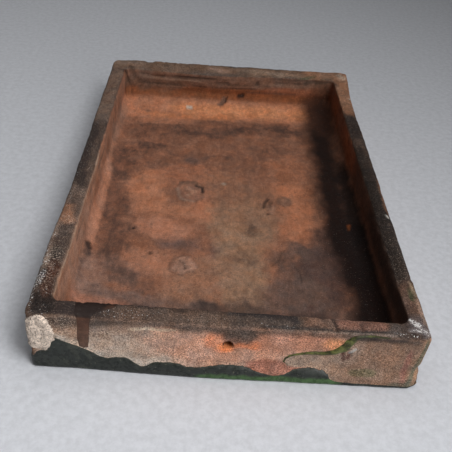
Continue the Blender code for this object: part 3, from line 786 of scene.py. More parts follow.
RIM_MARKS = (
    # Tar and soot of the near left corner, with bare red where it has chipped and salt grains that are
    # partly painted glints
    mark(((-100, -162), (-102, -138), (-104, -118)), (6, 8), TAR, 0.92, gloss=0.9, waver=0.9, salt=0.45),
    mark(((-100, -140), (-99, -148)), (3.6, 5), RUST, 0.85, height=-0.5, gloss=0.7, waver=1),
    mark(((-98.5, -126), (-98, -133)), (3.2, 4), RUST, 0.85, height=-0.4, gloss=0.7, waver=1),
    # Salt grains along the left and near rims, partly painted glints
    mark(((-103.4, -134, 38.5), (-104, -142, 38.5)), (1.5, 2.8, 3), (0.06, 0.056, 0.058), 0.5, salt=1.1,
         waver=0.9, gloss=0.7),
    mark(((-105.4, -142, 38), (-105, -160, 38)), (1.8, 6, 5), salt=1.1, waver=0.9),
    mark(((-105, -96, 37.5), (-105, -120, 37.5)), (2.6, 10, 5), (0.3, 0.21, 0.16), 0.5, salt=0.9, waver=0.9,
         height=0.2),
    mark(((-103, -60), (-104, 60)), (4, 20), salt=0.5),
    mark(((-75, -162), (-52, -163)), (9, 3), salt=0.56, waver=0.9),
    mark(((-36, -163), (30, -163)), (12, 3), salt=0.36, waver=0.9),
    mark(((-88, -101, 38), (-88, -106, 38)), (3, 3, 3), TAR, 0.7, height=-0.6, waver=0.8),
    # Frosty salt on the near right corner, its bright specks partly painted glints
    mark(((100, -150), (98, -158), (104, -162)), (5, 5), (0.088, 0.068, 0.064), 0.9, salt=0.5, waver=1),
    mark(((97, -152), (99.4, -156)), (3, 3.2), (0.2, 0.17, 0.165), 0.7, salt=1.55, waver=1.2, gloss=0.3),
    mark(((95, -161), (100, -160), (104, -161)), (2.8, 2.2), (0.24, 0.222, 0.228), 0.55, salt=1.1,
         waver=1.2, gloss=0.3),
    mark(((91, -163), (98, -164)), (5, 2), salt=0.8, waver=1),
    # Crease along the near rim, its pale raised edge a painted highlight, and the two nicks beside it
    # Painted highlight along the near rim's outer edge
    mark(((22, -165.6, 34.5), (45, -165.3, 34.8), (84, -164.6, 34.6)), (4, 1, 1), (0.23, 0.175, 0.145), 0.7,
         height=0.3, waver=0.3),
    mark(((20, -164, 36), (45, -163.6, 36), (86, -162.8, 35.6)), (4, 0.9, 1), (0.04, 0.034, 0.032), 0.8,
         height=-0.3, waver=0.4),
    mark(((54, -155, 36), (55.6, -162, 36)), (1, 3, 3), TAR, 0.7, height=-0.5, waver=0.3),
    mark(((69, -159), (69.5, -162)), (0.9, 2), TAR, 0.6, height=-0.5, waver=0.3),
    # Crumbled places along the inner edges
    mark(((95, 60, 36), (95.4, 40, 36)), (1.6, 5, 3), height=-0.7, waver=1.3),
    mark(((94.6, -20, 36), (95, -64, 35.6)), (1.5, 7, 3), height=-0.8, waver=1.3),
    mark(((96, -84, 35.6), (96.4, -116, 35.4)), (1.5, 7, 3), height=-0.8, waver=1.3),
    mark(((105.5, -10), (106, -110)), (1.4, 9), height=-0.6, waver=1.4),
    mark(((-94, 60, 37), (-94.4, 0, 37.6)), (1.6, 9, 3), height=-0.7, waver=1.3),
    # Chips and scales
    mark(((103, -128, 36), (102, -134, 35.6)), (2.2, 3, 4), (0.062, 0.066, 0.034), 0.95, height=-0.9,
         soft=0.3),
    mark(((103.6, -124), (104.6, -130)), (1, 3), (0.33, 0.25, 0.17), 0.7, height=0.2),
    mark(((102.4, -55), (102.8, -57)), (0.7, 0.7), (0.62, 0.58, 0.52), 0.9, height=0.2),
    mark(((102.8, 118, 36),), (1.3, 2, 3), (0.62, 0.56, 0.48), 0.95, height=0.2),
    mark(((100, 163), (103, 158)), (2.2, 2.4), (0.46, 0.33, 0.24), 0.8, height=-0.4),
    mark(((-92, 160, 37), (-60, 163, 37), (-45, 161, 37)), (8, 4, 4), height=-0.7, waver=1.3),
    mark(((-88, 156, 35.5), (-84, 150, 31)), (3, 3, 3), TAR, 0.8, height=-0.8),
    mark(((20, 171, 34), (60, 171, 34)), (16, 4, 3), height=-0.6, waver=1.2),
    # Line that the cutting wire left under the far rim
    mark(((40, 152, 35.6), (66, 153, 35.6), (92, 154, 35.8)), (4, 3, 0.9), (0.05, 0.032, 0.025), 0.8,
         height=-0.4, waver=0.5),
    mark(((-60, 150, 34), (-20, 148, 34.4), (10, 149, 34.5)), (4, 3, 0.8), (0.07, 0.044, 0.033), 0.6,
         height=-0.4),
)

OUTSIDE_STAINS = (
    # Left part of the near wall: coarse sandy scale
    mark(((-90, -166, 32), (-84, -166, 20)), (9, 5, 9), (0.35, 0.225, 0.155), 0.9, sand=0.6),
    mark(((-68, -166, 22), (-52, -166, 15), (-40, -167, 11)), (14, 5, 8), (0.43, 0.32, 0.25), 0.95,
         sand=0.8),
    mark(((-70, -166, 30), (-50, -166, 31)), (8, 5, 4.5), (0.275, 0.195, 0.15), 0.8, waver=0.9),
    mark(((-22, -166, 19),), (20, 5, 13), (0.515, 0.285, 0.2), 0.9),
    mark(((15, -166, 27), (48, -166, 27)), (14, 5, 8), (0.45, 0.21, 0.135), 0.9),
    mark(((8, -166, 15), (28, -166, 15)), (14, 5, 5), (0.51, 0.27, 0.185), 0.8),
    mark(((16, -168, 10), (33, -168, 9)), (9, 5, 4.5), SALMON, 0.95, soft=0.3),
    mark(((56, -166, 28),), (7, 5, 3.5), (0.6, 0.275, 0.14), 0.9),
    mark(((40, -166, 15), (50, -166, 18)), (9, 5, 4), (0.4, 0.275, 0.195), 0.8, sand=0.5),
    # Spalled, brightly fired clay round the wire hole, and the soot over it
    mark(((-4, -166, 24),), (8, 5, 6), (0.59, 0.215, 0.108), 0.8, waver=0.8),
    mark(((-3.4, -166, 21.6), (-1.2, -166, 20.4)), (2.8, 3, 2.2), (0.86, 0.29, 0.12), 0.97, height=-0.35,
         waver=0.8),
    mark(((3, -166, 25), (10, -166, 24.5)), (5, 3, 3), (0.62, 0.205, 0.09), 0.8, waver=0.9),
    mark(((2, -166, 28.5), (9, -166, 30)), (4.6, 3, 4.2), (0.1, 0.072, 0.06), 0.88, waver=0.9),
    mark(((-51, -166, 31), (-44, -166, 32.4), (-37, -166, 31.5), (-31, -166, 32.3)), (2.4, 3, 0.8),
         (0.6, 0.47, 0.35), 0.8, height=0.15),
)

OUTSIDE_MARKS = (
    # Two gouges and a scratch in the scoured clay, an olive smear, and the worn corner
    mark(((60.6, -166.4, 21), (61.4, -166.4, 16.5)), (1.1, 3, 1.2), (0.085, 0.035, 0.026), 0.85,
         height=-0.7, waver=0.5),
    mark(((64, -166.4, 21.5), (63.6, -166.4, 18)), (0.9, 3, 1.2), (0.11, 0.04, 0.03), 0.8, height=-0.6,
         waver=0.5),
    mark(((64.2, -166.4, 22.2), (66.6, -166.3, 24.8)), (0.8, 3, 0.8), (0.42, 0.39, 0.35), 0.7, height=0.3,
         waver=0.3),
    mark(((68, -168, 8.6), (77, -168, 8.8)), (2.6, 4, 1.3), (0.12, 0.1, 0.052), 0.8, waver=0.8),
    mark(((106, -163, 30), (105, -166, 4)), (4.4, 6, 6), (0.35, 0.2, 0.122), 0.95, soft=0.25),
    mark(((-12, -170, 1.2), (26, -170, 1.2), (54, -170, 2.4)), (8, 6, 3), green=1.1, waver=0.8),
    mark(((95.5, -166, 8), (96.8, -166, 22)), (1.6, 4, 5), (0.33, 0.13, 0.105), 0.55, waver=0.9),
    mark(((104.4, -164.4, 31), (103.2, -165.7, 21.9), (101.8, -166.2, 13.6), (100.2, -169.1, 7.8),
         (98.9, -170, 3)), (1.25, 3, 3), (0.11, 0.112, 0.078), 0.85, waver=0.7),
    mark(((92, -170, 2), (98, -170, 2)), (6, 3, 1.5), (0.12, 0.115, 0.08), 0.6, waver=0.9),
    mark(((108, -171.5, 0), (107.5, -171, 8)), (6, 7, 7), height=-2.6, soft=0.6, waver=0.2),
    mark(((70, -166, 34), (90, -166, 34)), (5, 4, 3), soot=0.9),
    # Chips in the foot and the wall
    mark(((-100, -166.5, 3),), (1.6, 3, 1.2), height=-0.5),
    mark(((-52, -168, 3.6),), (1.3, 3, 0.8), (0.21, 0.19, 0.16), 0.6, height=-0.2),
    mark(((-9, -169, 5),), (0.9, 3, 0.7), (0.3, 0.26, 0.21), 0.6, height=-0.2),
)


def sooty_edge(x):
    """Height of the soot's lower edge under the near rim"""
    places = (-91, -72, -62, -51, -37, -22, -6, 1, 8, 12, 26, 41, 52, 63, 106)
    heights = (31.6, 32.0, 33.8, 34.8, 34.4, 33.2, 31.2, 29.8, 29.8, 31.8, 34.2, 33.4, 33.4, 32.4, 30.6)
    return np.interp(x, places, heights)


# The near wall's glaze ends on this line; everything below it is glazed
GLAZE_LINE = (
    (-107, 14), (-97, 13), (-92.6, 22.7), (-84, 18.7), (-77.5, 16.1), (-74.6, 14.8), (-71, 11.6),
    (-65, 9.2), (-60.8, 10.5), (-55.4, 10.9), (-50.2, 7.8), (-46, 5.8), (-41, 8.4), (-36, 9.6), (-29, 9.2),
    (-22, 7.5), (-12, 8.3), (-3.3, 9.5), (3, 9.5), (10.4, 9.0), (17.4, 6.7), (25, 5.2), (31, 6.2),
    (35.5, 9.1), (44, 10.3), (50.8, 9.3), (54.4, 7.3), (55.5, 4.5), (60, 1.6), (70, 0.2), (86, -0.4),
    (96, -2), (110, -4),
)
MORTAR_OUTLINE = (
    (-113, 30), (-110, 34.5), (-105.5, 35), (-101.6, 37.4), (-98, 37.4), (-95.5, 36.5), (-94.4, 34.8),
    (-93.7, 31.5), (-92.8, 27.7), (-92.3, 24.8), (-93.5, 22.6), (-92.2, 21.7), (-94.1, 19.1), (-94.8, 16.5),
    (-96.4, 14.3), (-98, 13), (-99.2, 14.6), (-101, 14.2), (-103.3, 15), (-108, 17), (-112, 21),
)
DRIP_OUTLINE = (
    (-81.9, 52), (-81.6, 41), (-80.1, 36), (-80.2, 30.5), (-80.5, 23.6), (-79.7, 17.5), (-77.5, 15.9),
    (-74.8, 16.8), (-74.4, 24), (-73.8, 31.9), (-73.0, 37.8), (-71, 41), (-62, 46), (-58, 52),
)
# The curled roll of glaze: points of its middle line, and its half width at each
ROLL_LINE = (
    (31.5, 11.6), (29.6, 13.6), (30.2, 16.5), (33, 18.8), (42, 20.8), (51, 21.2), (56, 22.5), (60.5, 25.4),
    (62.8, 29.2), (65.9, 33.0), (70, 34.2), (76, 34.4), (84, 34.0),
)
ROLL_WIDTH = (0.4, 0.6, 0.7, 0.8, 1.1, 1.5, 2.0, 2.8, 2.6, 1.5, 1.1, 0.9, 0.3)
SCOURED_OUTLINE = (
    (30.5, 12), (31, 17), (36, 19.5), (50, 21), (57, 22.5), (62, 26), (66, 32), (72, 33.5), (104, 31.5),
    (101.8, 14), (98.7, 4), (98, 0.5), (60, 0.5), (55.5, 4.5), (53, 9), (45, 10.6), (36, 10), (32, 10.6),
)


def wall_glaze(surface):
    """Depth of each vertex below the glaze's edge, in millimetres"""
    x, y, z = surface.points.T
    along = np.where((surface.side == 0) | (surface.side == 2), x, y)
    plan = np.stack((along / 17.0, surface.side * 9.0, np.zeros(len(x))), axis=1)
    hand_line = 9.0 + 3.6 * lumps(plan, 1.0, 3, seed=3)
    hand_line -= 12.0 * swell(x - 106.0, 8.0) * swell(y + 168.0, 14.0)
    near_line = np.interp(x, *np.transpose(GLAZE_LINE))
    line = hand_line + (near_line - hand_line) * surface.on_side("near")
    depth = line - z + 0.5 * surface.ripple
    return np.where(surface.station > OUTER_LIP, depth - NOWHERE * surface.face, NOWHERE)


def roll_depth(surface):
    """Depth of each vertex inside the roll of glaze, in millimetres"""
    depth = np.full(len(surface.points), NOWHERE)
    near = surface.near_wall
    plan = surface.near_plan[near]
    best = np.full(len(plan), NOWHERE)
    knots = np.array(ROLL_LINE, dtype=float)
    for start, end, wide, wider in zip(knots, knots[1:], ROLL_WIDTH, ROLL_WIDTH[1:]):
        run = end - start
        share = np.clip((plan - start) @ run / (run @ run), 0.0, 1.0)
        away = np.linalg.norm(plan - start - share[:, None] * run, axis=1)
        best = np.maximum(best, wide + (wider - wide) * share - away)
    depth[near] = best
    return depth


def outlined(surface, outline, waver):
    """Depth of each vertex of the near wall inside an outline, broken up by ripples"""
    depth = np.full(len(surface.points), NOWHERE)
    near = surface.near_wall
    depth[near] = depth_inside(surface.near_plan[near], outline) + waver * surface.ripple[near]
    return depth


def layers(surface):
    """Depths inside the edges of everything that lies on the clay"""
    return {
        "glaze": wall_glaze(surface),
        "roll": roll_depth(surface) + 0.35 * surface.ripple,
        "drip": outlined(surface, DRIP_OUTLINE, 0.25),
        "mortar": outlined(surface, MORTAR_OUTLINE, 0.8),
        "scoured": outlined(surface, SCOURED_OUTLINE, 0.5),
    }


def clay_relief(surface):
    """Rise of the pressed and hand-smoothed clay, in parts of its unevenness"""
    points, station = surface.points, surface.station
    rise = lumps(points, 48.0, 2, seed=4) + 0.5 * lumps(points, 15.0, 3, seed=5)
    rise += 0.16 * lumps(points, 4.0, 3, seed=6)
    rise *= 1.0 - 0.85 * surface.face
    # Drag lines of fingers and slip, along the walls and across the floor
    along_x = surface.on_side("near") + surface.on_side("far")
    drawn_x = lumps(points / np.array((14.0, 1.0, 1.0)), 2.6, 2, seed=7)
    drawn_y = lumps(points / np.array((1.0, 14.0, 1.0)), 2.6, 2, seed=8)
    drawn = drawn_x * along_x + drawn_y * (1.0 - along_x)
    rise += 0.22 * drawn * surface.inside
    # The rim was cut and trimmed by hand and has crumbled at its edges
    rise += surface.rim * (0.7 * lumps(points, 9.0, 3, seed=9) + 0.35 * lumps(points, 3.2, 2, seed=10))
    edges = swell(station - INNER_LIP - 0.1, 0.25) + swell(station - RIM_OUT - 0.15, 0.22)
    rise -= 4.0 * edges * np.clip(lumps(points, 6.0, 3, seed=11) - 0.22, 0.0, None)
    return rise


def relief(surface, settings):
    """Height that weathering and layers add at each vertex, in millimetres"""
    depth = layers(surface)
    rise = settings.unevenness / MM * clay_relief(surface)
    grain = lumps(surface.points, 1.8, 2, seed=12)
    rise += settings.glaze_thickness / MM * ease(-0.4, 1.1, depth["glaze"]) * (1.0 + 0.25 * surface.waver)
    rise -= 0.5 * settings.glaze_thickness / MM * ease(PLATE_TOP - 0.4, PLATE_TOP, surface.station)
    rise += settings.roll_thickness / MM * np.sqrt(np.clip(depth["roll"], 0.0, 1.2) / 1.2)
    rise += DRIP_THICKNESS * ease(-0.2, 0.8, depth["drip"])
    rough = 1.0 + 0.55 * lumps(surface.points, 3.0, 3, seed=13) + 0.25 * grain
    rise += settings.mortar_thickness / MM * ease(-0.1, 1.3, depth["mortar"]) * rough
    rise -= SCOURED_DEPTH * ease(0.0, 1.0, depth["scoured"]) * (1.0 - ease(0.0, 1.0, depth["glaze"]))
    for group, share in mark_groups(surface):
        for each in group:
            if each.height:
                lift = each.height + each.also.get("crumble", 0.0) * grain
                rise += lift * surface.cover(each) * share
    return rise


def base_tint(surface):
    """Clay colours before any stain: inside, along the rim and on the four outer walls"""
    tint = np.tile(CLAY, (len(surface.points), 1))
    blend(tint, RIM_BROWN, surface.rim)
    blend(tint, BUFF, surface.outside)
    blend(tint, BARE_PATCH, surface.outside * ease(-0.10, 0.30, surface.waver))
    blend(tint, DULL_PATCH, surface.outside * ease(0.0, 0.4, -surface.waver) * 0.8)
    blend(tint, NEAR_WALL, surface.outside * surface.on_side("near"))
    return tint


def blend(tint, new, share):
    """Move the tint towards a new colour by each vertex's share, in place"""
    tint += (np.array(new) - tint) * np.asarray(share)[:, None]


def near_margin(surface, glaze_depth):
    """Share of the pale crust that stands along the glaze's edge on the left of the near wall"""
    fades = 1.0 - ease(-46.0, -18.0, surface.points[:, 0])
    crust = ease(-5.0, -1.8, glaze_depth + 1.6 * surface.waver)
    return 0.75 * crust * fades * surface.on_side("near") * surface.outside


def colour_clay(surface):
    """Tint of every vertex and the masks of salt with painted glints, sand and gloss, from all the marks"""
    tint = base_tint(surface)
    masks = {name: np.zeros(len(surface.points)) for name in ("salt", "sand", "gloss", "soot", "green")}
    depth = layers(surface)
    for group, share in mark_groups(surface)[:-1]:
        stain(tint, masks, surface, group, share)
    x = surface.points[:, 0]
    scoured = ease(-0.3, 0.5, depth["scoured"])
    sandy_tip = 1.0 - ease(46.0, 74.0, x + 6.0 * surface.waver)
    margin = near_margin(surface, depth["glaze"])
    blend(tint, CRUST, margin)
    masks["sand"] = np.maximum(masks["sand"], 0.7 * margin)
    worn = np.array(SCOURED) + (np.array(SAND) - np.array(SCOURED)) * (0.75 * sandy_tip[:, None])
    tint += (worn - tint) * scoured[:, None]
    blend(tint, SAND, 0.6 * ease(-0.5, 0.2, depth["scoured"]) * (1.0 - ease(0.4, 1.6, depth["scoured"])))
    masks["sand"] = np.maximum(masks["sand"], scoured * 0.35)
    # Soot hangs down from the rims onto the outer walls
    climb = surface.near_plan[:, 1]
    near = surface.on_side("near") * surface.outside
    over = climb - sooty_edge(x) + 1.3 * surface.waver
    blend(tint, WALL_SOOT, near * ease(-4.2, 1.4, over) * 0.92)
    rim_line = surface.points[:, 2] - 32.0 + 3.5 * surface.waver
    others = (1.0 - surface.on_side("near")) * surface.outside
    blend(tint, SIDE_SOOT, others * ease(-2.5, 2.0, rim_line) * 0.8)
    stain(tint, masks, surface, OUTSIDE_MARKS, surface.outside)
    colour_hole(tint, masks, surface)
    masks["grit"] = np.clip(surface.rim + surface.outside, 0.0, 1.0) * (1.0 - surface.face)
    return tint, masks, depth


def colour_hole(tint, masks, surface):
    """Bare clay round the wire hole's mouth, and shade inside it"""
    x, y, z = surface.points.T
    above = z - HOLE_HEIGHT / MM
    bored = (1.0 - ease(*HOLE_RING, np.hypot(x - HOLE_X / MM, above))) * (y < NEAR_END)
    blend(tint, HOLE_CLAY, bored)
    shaded = ease(-165.9, -164.1, y) + ease(-1.4, 0.2, above)
    blend(tint, HOLE_SHADE, bored * np.clip(shaded, 0.0, 1.0))
    masks["soot"] *= 1.0 - bored


def stain(tint, masks, surface, group, share):
    """Lay each mark of a group over the tint and the masks"""
    for each in group:
        cover = surface.cover(each) * share
        if each.colour is not None:
            blend(tint, each.colour, cover * each.strength)
            masks["soot"] *= 1.0 - 0.8 * cover * each.strength
        for name in masks:
            if name in each.also:
                masks[name] = np.maximum(masks[name], cover * each.also[name])


def mark_groups(surface):
    """Every list of marks, with the share of each vertex that it may reach"""
    return (
        (INSIDE_STAINS, surface.inside), (INSIDE_MARKS, surface.inside),
        (RIM_STAINS, surface.rim), (RIM_MARKS, np.clip(surface.rim + 0.5 * surface.inside, 0.0, 1.0)),
        (OUTSIDE_STAINS, surface.outside), (OUTSIDE_MARKS, surface.outside),
    )


def weather(tile, settings):
    """Push the true tray's surface out by its relief, inside the tile's own box"""
    mesh = tile.data
    surface = Surface(mesh)
    normals = np.empty(len(mesh.vertices) * 3)
    mesh.vertex_normals.foreach_get("vector", normals)
    rise = relief(surface, settings) * MM
    places = coordinates(mesh) + normals.reshape(-1, 3) * rise[:, None]
    set_coordinates(mesh, np.clip(places, np.array(LOW), np.array(HIGH)))


def cut(tile, cutter):
    """Cut one object out of the tile and throw the cutter away"""
    bpy.ops.object.select_all(action="DESELECT")
    bpy.context.view_layer.objects.active = tile
    tile.select_set(True)
    modifier = tile.modifiers.new("cut", "BOOLEAN")
    modifier.solver = "EXACT"
    modifier.operation = "DIFFERENCE"
    modifier.object = cutter
    bpy.ops.object.modifier_apply(modifier="cut")
    bpy.data.objects.remove(cutter)


def pierce_wire_hole(tile, settings):
    """Drive the tie wire's hole through the near wall, with a broken mouth"""
    radius = settings.wire_hole / 2.0
    wall_face = LOW.y + WAIST[0]
    through = THICKNESS[0] + 6.0 * MM
    middle = wall_face + through / 2.0 - 2.0 * MM
    bpy.ops.mesh.primitive_cylinder_add(vertices=HOLE_SIDES, radius=radius, depth=through,
                                        location=(HOLE_X, middle, HOLE_HEIGHT),
                                        rotation=(math.pi / 2.0, 0.0, 0.0))
    cut(tile, bpy.context.object)
    bpy.ops.mesh.primitive_cone_add(vertices=HOLE_SIDES, radius1=radius + 2.0 * HOLE_MOUTH,
                                    radius2=radius * 0.9, depth=3.0 * HOLE_MOUTH,
                                    location=(HOLE_X, wall_face + 0.4 * MM, HOLE_HEIGHT),
                                    rotation=(-math.pi / 2.0, 0.0, 0.0))
    cut(tile, bpy.context.object)


def finish_surface(tile):
    """Colour the final surface and keep every layer's depth for the material"""
    mesh = tile.data
    surface = Surface(mesh)
    tint, masks, depth = colour_clay(surface)
    shades = mesh.attributes.new("tint", "FLOAT_COLOR", "POINT")
    opaque = np.column_stack((np.clip(tint, 0.0, 1.0), np.ones(len(tint))))
    shades.data.foreach_set("color", opaque.ravel().astype(np.float32))
    for name, values in {**masks, **depth}.items():
        if name != "scoured":
            set_values(mesh, name, values)


class Coats:
    """Nodes of a layered material, added by their plain names"""

    def __init__(self, material):
        material.use_nodes = True
        self.tree = material.node_tree
        self.shader = self.tree.nodes["Principled BSDF"]
        self.places = self.tree.nodes.new("ShaderNodeTexCoord").outputs["Object"]

    def connect(self, value, socket):
        if isinstance(value, bpy.types.NodeSocket):
            self.tree.links.new(value, socket)
        elif isinstance(value, tuple):
            socket.default_value = (*value, 1.0)
        else:
            socket.default_value = value

    def node(self, kind, inputs, output=0, **settings):
        """Add a node with its settings and inputs, and hand back one of its outputs"""
        node = self.tree.nodes.new("ShaderNode" + kind)
        for name, value in settings.items():
            setattr(node, name, value)
        for socket, value in inputs.items():
            self.connect(value, node.inputs[socket])
        return node.outputs[output]

    def noise(self, size, detail=2.0, roughness=0.5, stretch=(1.0, 1.0, 1.0), distortion=0.0):
        """Lumps of this size in millimetres, drawn out along the axes by the stretch"""
        scale = [1.0 / (size * MM * each) for each in stretch]
        scaled = self.node("Mapping", {"Vector": self.places, "Scale": scale})
        return self.node("TexNoise", {"Vector": scaled, "Scale": 1.0, "Detail": detail,
                                      "Roughness": roughness, "Distortion": distortion})

    def attribute(self, name):
        return self.node("Attribute", {}, "Color" if name == "tint" else "Fac", attribute_name=name)

    def maths(self, operation, first, second):
        return self.node("Math", {0: first, 1: second}, operation=operation)

    def ramp(self, value, low, high, start=0.0, end=1.0):
        """Go smoothly from start to end as the value goes from low to high"""
        inputs = dict(enumerate((value, low, high, start, end)))
        return self.node("MapRange", inputs, interpolation_type="SMOOTHSTEP")

    def mix(self, share, under, over, blend_type="MIX"):
        return self.node("Mix", {0: share, 6: under, 7: over}, 2, data_type="RGBA", blend_type=blend_type)

    def mix_value(self, share, under, over):
        return self.node("Mix", {0: share, 2: under, 3: over})

    def shade(self, base, value, dark, light, low=0.3, high=0.7):
        """Darken and lighten a colour by a noise"""
        factor = self.ramp(value, low, high, dark, light)
        return self.mix(1.0, base, factor, "MULTIPLY")

    def edge(self, name, noise, spread, soft=0.12):
        """Share covered by a layer, from its depth, with an edge broken up by a noise"""
        shifted = self.maths("MULTIPLY", self.maths("SUBTRACT", noise, 0.5), spread)
        return self.ramp(self.maths("ADD", self.attribute(name), shifted), -soft, soft)

    def grains(self, name, noise, low, high):
        """Share covered by scattered grains that grow thicker with a mask"""
        lack = self.maths("MULTIPLY", self.maths("SUBTRACT", 1.0, self.attribute(name)), 0.2)
        return self.ramp(self.maths("SUBTRACT", noise, lack), low, high)


def weathered_clay(settings):
    """Bare clay under soot, salt, glaze and mortar, as one material"""
    material = bpy.data.materials.new("weathered_clay")
    coats = Coats(material)
    blotch = coats.noise(10.0, 6.0, 0.62, stretch=(1.0, 1.5, 1.0), distortion=0.4)
    mottle = coats.noise(3.0, 5.0, 0.65, stretch=(1.0, 1.4, 1.0))
    grain = coats.noise(0.75, 3.0, 0.6)
    fine = coats.noise(0.38, 1.0, 0.5)
    speck = coats.noise(1.3, 2.0, 0.5)
    cloud = coats.noise(8.5, 8.0, 0.68, stretch=(1.0, 1.7, 1.0), distortion=0.5)
    drawn = coats.noise(2.2, 4.0, 0.65, stretch=(1.0, 7.0, 1.0), distortion=1.2)
    grit = coats.attribute("grit")

    clay = coats.shade(coats.attribute("tint"), blotch, 0.82, 1.20)
    clay = coats.shade(clay, mottle, 0.82, 1.18)
    clay = coats.shade(clay, grain, 0.80, 1.20)
    clay = coats.shade(clay, drawn, 0.94, 1.06)
    warmth = coats.ramp(coats.noise(12.0, 7.0, 0.74), 0.34, 0.66)
    clay = coats.mix(1.0, clay, coats.mix(warmth, COOLER, WARMER), "MULTIPLY")
    crumbs = coats.noise(0.50, 3.0, 0.75, stretch=(1.5, 1.5, 1.0))
    gritty = coats.shade(clay, crumbs, 0.38, 1.74, 0.34, 0.66)
    clay = coats.mix(coats.maths("MULTIPLY", grit, coats.ramp(blotch, 0.35, 0.6, 0.6, 1.0)), clay, gritty)
    clay = coats.mix(coats.ramp(speck, 0.63, 0.70, 0.0, 0.45), clay, DARK_SPECKS)
    sand = coats.grains("sand", grain, 0.46, 0.58)
    clay = coats.mix(coats.maths("MULTIPLY", sand, 0.6), clay, SAND_GRAINS)
    break_up = coats.maths("MULTIPLY", coats.maths("SUBTRACT", cloud, 0.5), 1.7)
    soot = coats.ramp(coats.maths("ADD", coats.attribute("soot"), break_up), 0.22, 1.30, 0.0, 0.90)
    clay = coats.mix(soot, clay, SOOT_COAT)
    flecks = coats.maths("MULTIPLY", coats.ramp(crumbs, 0.56, 0.68, 0.0, 0.58), grit)
    flecks = coats.maths("MULTIPLY", flecks, coats.ramp(mottle, 0.35, 0.6))
    clay = coats.mix(flecks, clay, PALE_FLECKS)
    # Pale salt grains, partly painted glints
    salt = coats.grains("salt", coats.noise(0.9, 3.0, 0.62), 0.55, 0.59)
    clay = coats.mix(coats.maths("MULTIPLY", salt, 0.92), clay, tuple(settings.salt_colour))

    drip = coats.edge("drip", mottle, 0.5)
    brown = coats.shade(tuple(settings.drip_colour), mottle, 0.7, 1.3)
    brown = coats.mix(coats.ramp(coats.attribute("soot"), 0.05, 0.5, 0.0, 0.92), brown, BURNT_DRIP)
    clay = coats.mix(coats.maths("MULTIPLY", drip, 0.93), clay, brown)

    glaze = coats.edge("glaze", mottle, 1.2)
    depth = coats.attribute("glaze")
    thin = coats.maths("MULTIPLY", coats.ramp(depth, 0.0, 1.1, 1.0, 0.0), 0.45)
    pools = coats.ramp(blotch, 0.50, 0.66, 0.0, 0.5)
    green = coats.mix(coats.maths("MAXIMUM", thin, pools), tuple(settings.glaze_colour), DUSTY_GLAZE)
    green = coats.mix(coats.attribute("green"), green, tuple(settings.green_colour))
    green = coats.shade(green, mottle, 0.75, 1.3)
    green = coats.mix(coats.ramp(speck, 0.66, 0.72, 0.0, 0.5), green, GLAZE_SPECKS)
    coated = coats.mix(glaze, clay, green)

    roll = coats.edge("roll", mottle, 0.5)
    olive = coats.shade(tuple(settings.roll_colour), mottle, 0.35, 1.75, 0.36, 0.64)
    olive = coats.mix(coats.ramp(coats.attribute("soot"), 0.1, 0.8, 0.0, 0.9), olive, SOOTY_OLIVE)
    coated = coats.mix(roll, coated, olive)

    mortar = coats.edge("mortar", grain, 1.6, 0.2)
    lime = coats.shade(tuple(settings.mortar_colour), mottle, 0.66, 1.18)
    lime = coats.shade(lime, grain, 0.44, 1.16, 0.34, 0.58)
    coated = coats.mix(mortar, coated, lime)
    coats.connect(coated, coats.shader.inputs["Base Color"])

    shine = coats.ramp(mottle, 0.3, 0.7, 0.86, 0.98)
    shine = coats.mix_value(coats.attribute("gloss"), shine, 0.32)
    shine = coats.mix_value(drip, shine, 0.58)
    shine = coats.mix_value(glaze, shine, coats.ramp(mottle, 0.35, 0.65, 0.22, 0.38))
    shine = coats.mix_value(roll, shine, 0.30)
    shine = coats.mix_value(mortar, shine, 0.95)
    coats.connect(shine, coats.shader.inputs["Roughness"])
    coats.shader.inputs["Specular IOR Level"].default_value = 0.21

    coarse = coats.maths("ADD", coats.maths("MULTIPLY", mottle, 0.5), grain)
    coarse = coats.maths("ADD", coarse, coats.maths("MULTIPLY", fine, 0.4))
    smooth = coats.maths("MAXIMUM", coats.maths("MAXIMUM", glaze, roll), drip)
    smooth = coats.maths("MULTIPLY", smooth, coats.maths("SUBTRACT", 1.0, mortar))
    coarse = coats.maths("MULTIPLY", coarse, coats.ramp(grit, 0.0, 1.0, 0.8, 2.0))
    height = coats.maths("MULTIPLY", coarse, coats.ramp(smooth, 0.0, 1.0, 1.0, 0.12))
    bump = coats.node("Bump", {"Strength": 0.9, "Distance": GRAIN_HEIGHT, "Height": height}, "Normal")
    coats.connect(bump, coats.shader.inputs["Normal"])
    return material


class TILE_OT_body(bpy.types.Operator):
    """Press, cut, pierce and weather the tile"""

    bl_idname = "stove_tile.body"
    bl_label = "Tile"

    def execute(self, context):
        settings = context.scene.stove_tile
        tile = press_tray(settings)
        centres = np.empty(len(tile.data.polygons) * 3)
        tile.data.polygons.foreach_get("center", centres)
        centres = centres.reshape(-1, 3)
        near = centres[:, 1] < LOW.y + LIP[0] + THICKNESS[0]
        refine(tile.data, near & (centres[:, 2] > FINE_ABOVE))
        weather(tile, settings)
        pierce_wire_hole(tile, settings)
        finish_surface(tile)
        bpy.ops.object.shade_smooth_by_angle(angle=math.radians(SMOOTH_ANGLE))
        tile.data.materials.clear()
        tile.data.materials.append(weathered_clay(settings))
        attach(tile, "root")
        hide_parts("tile")
        return {"FINISHED"}


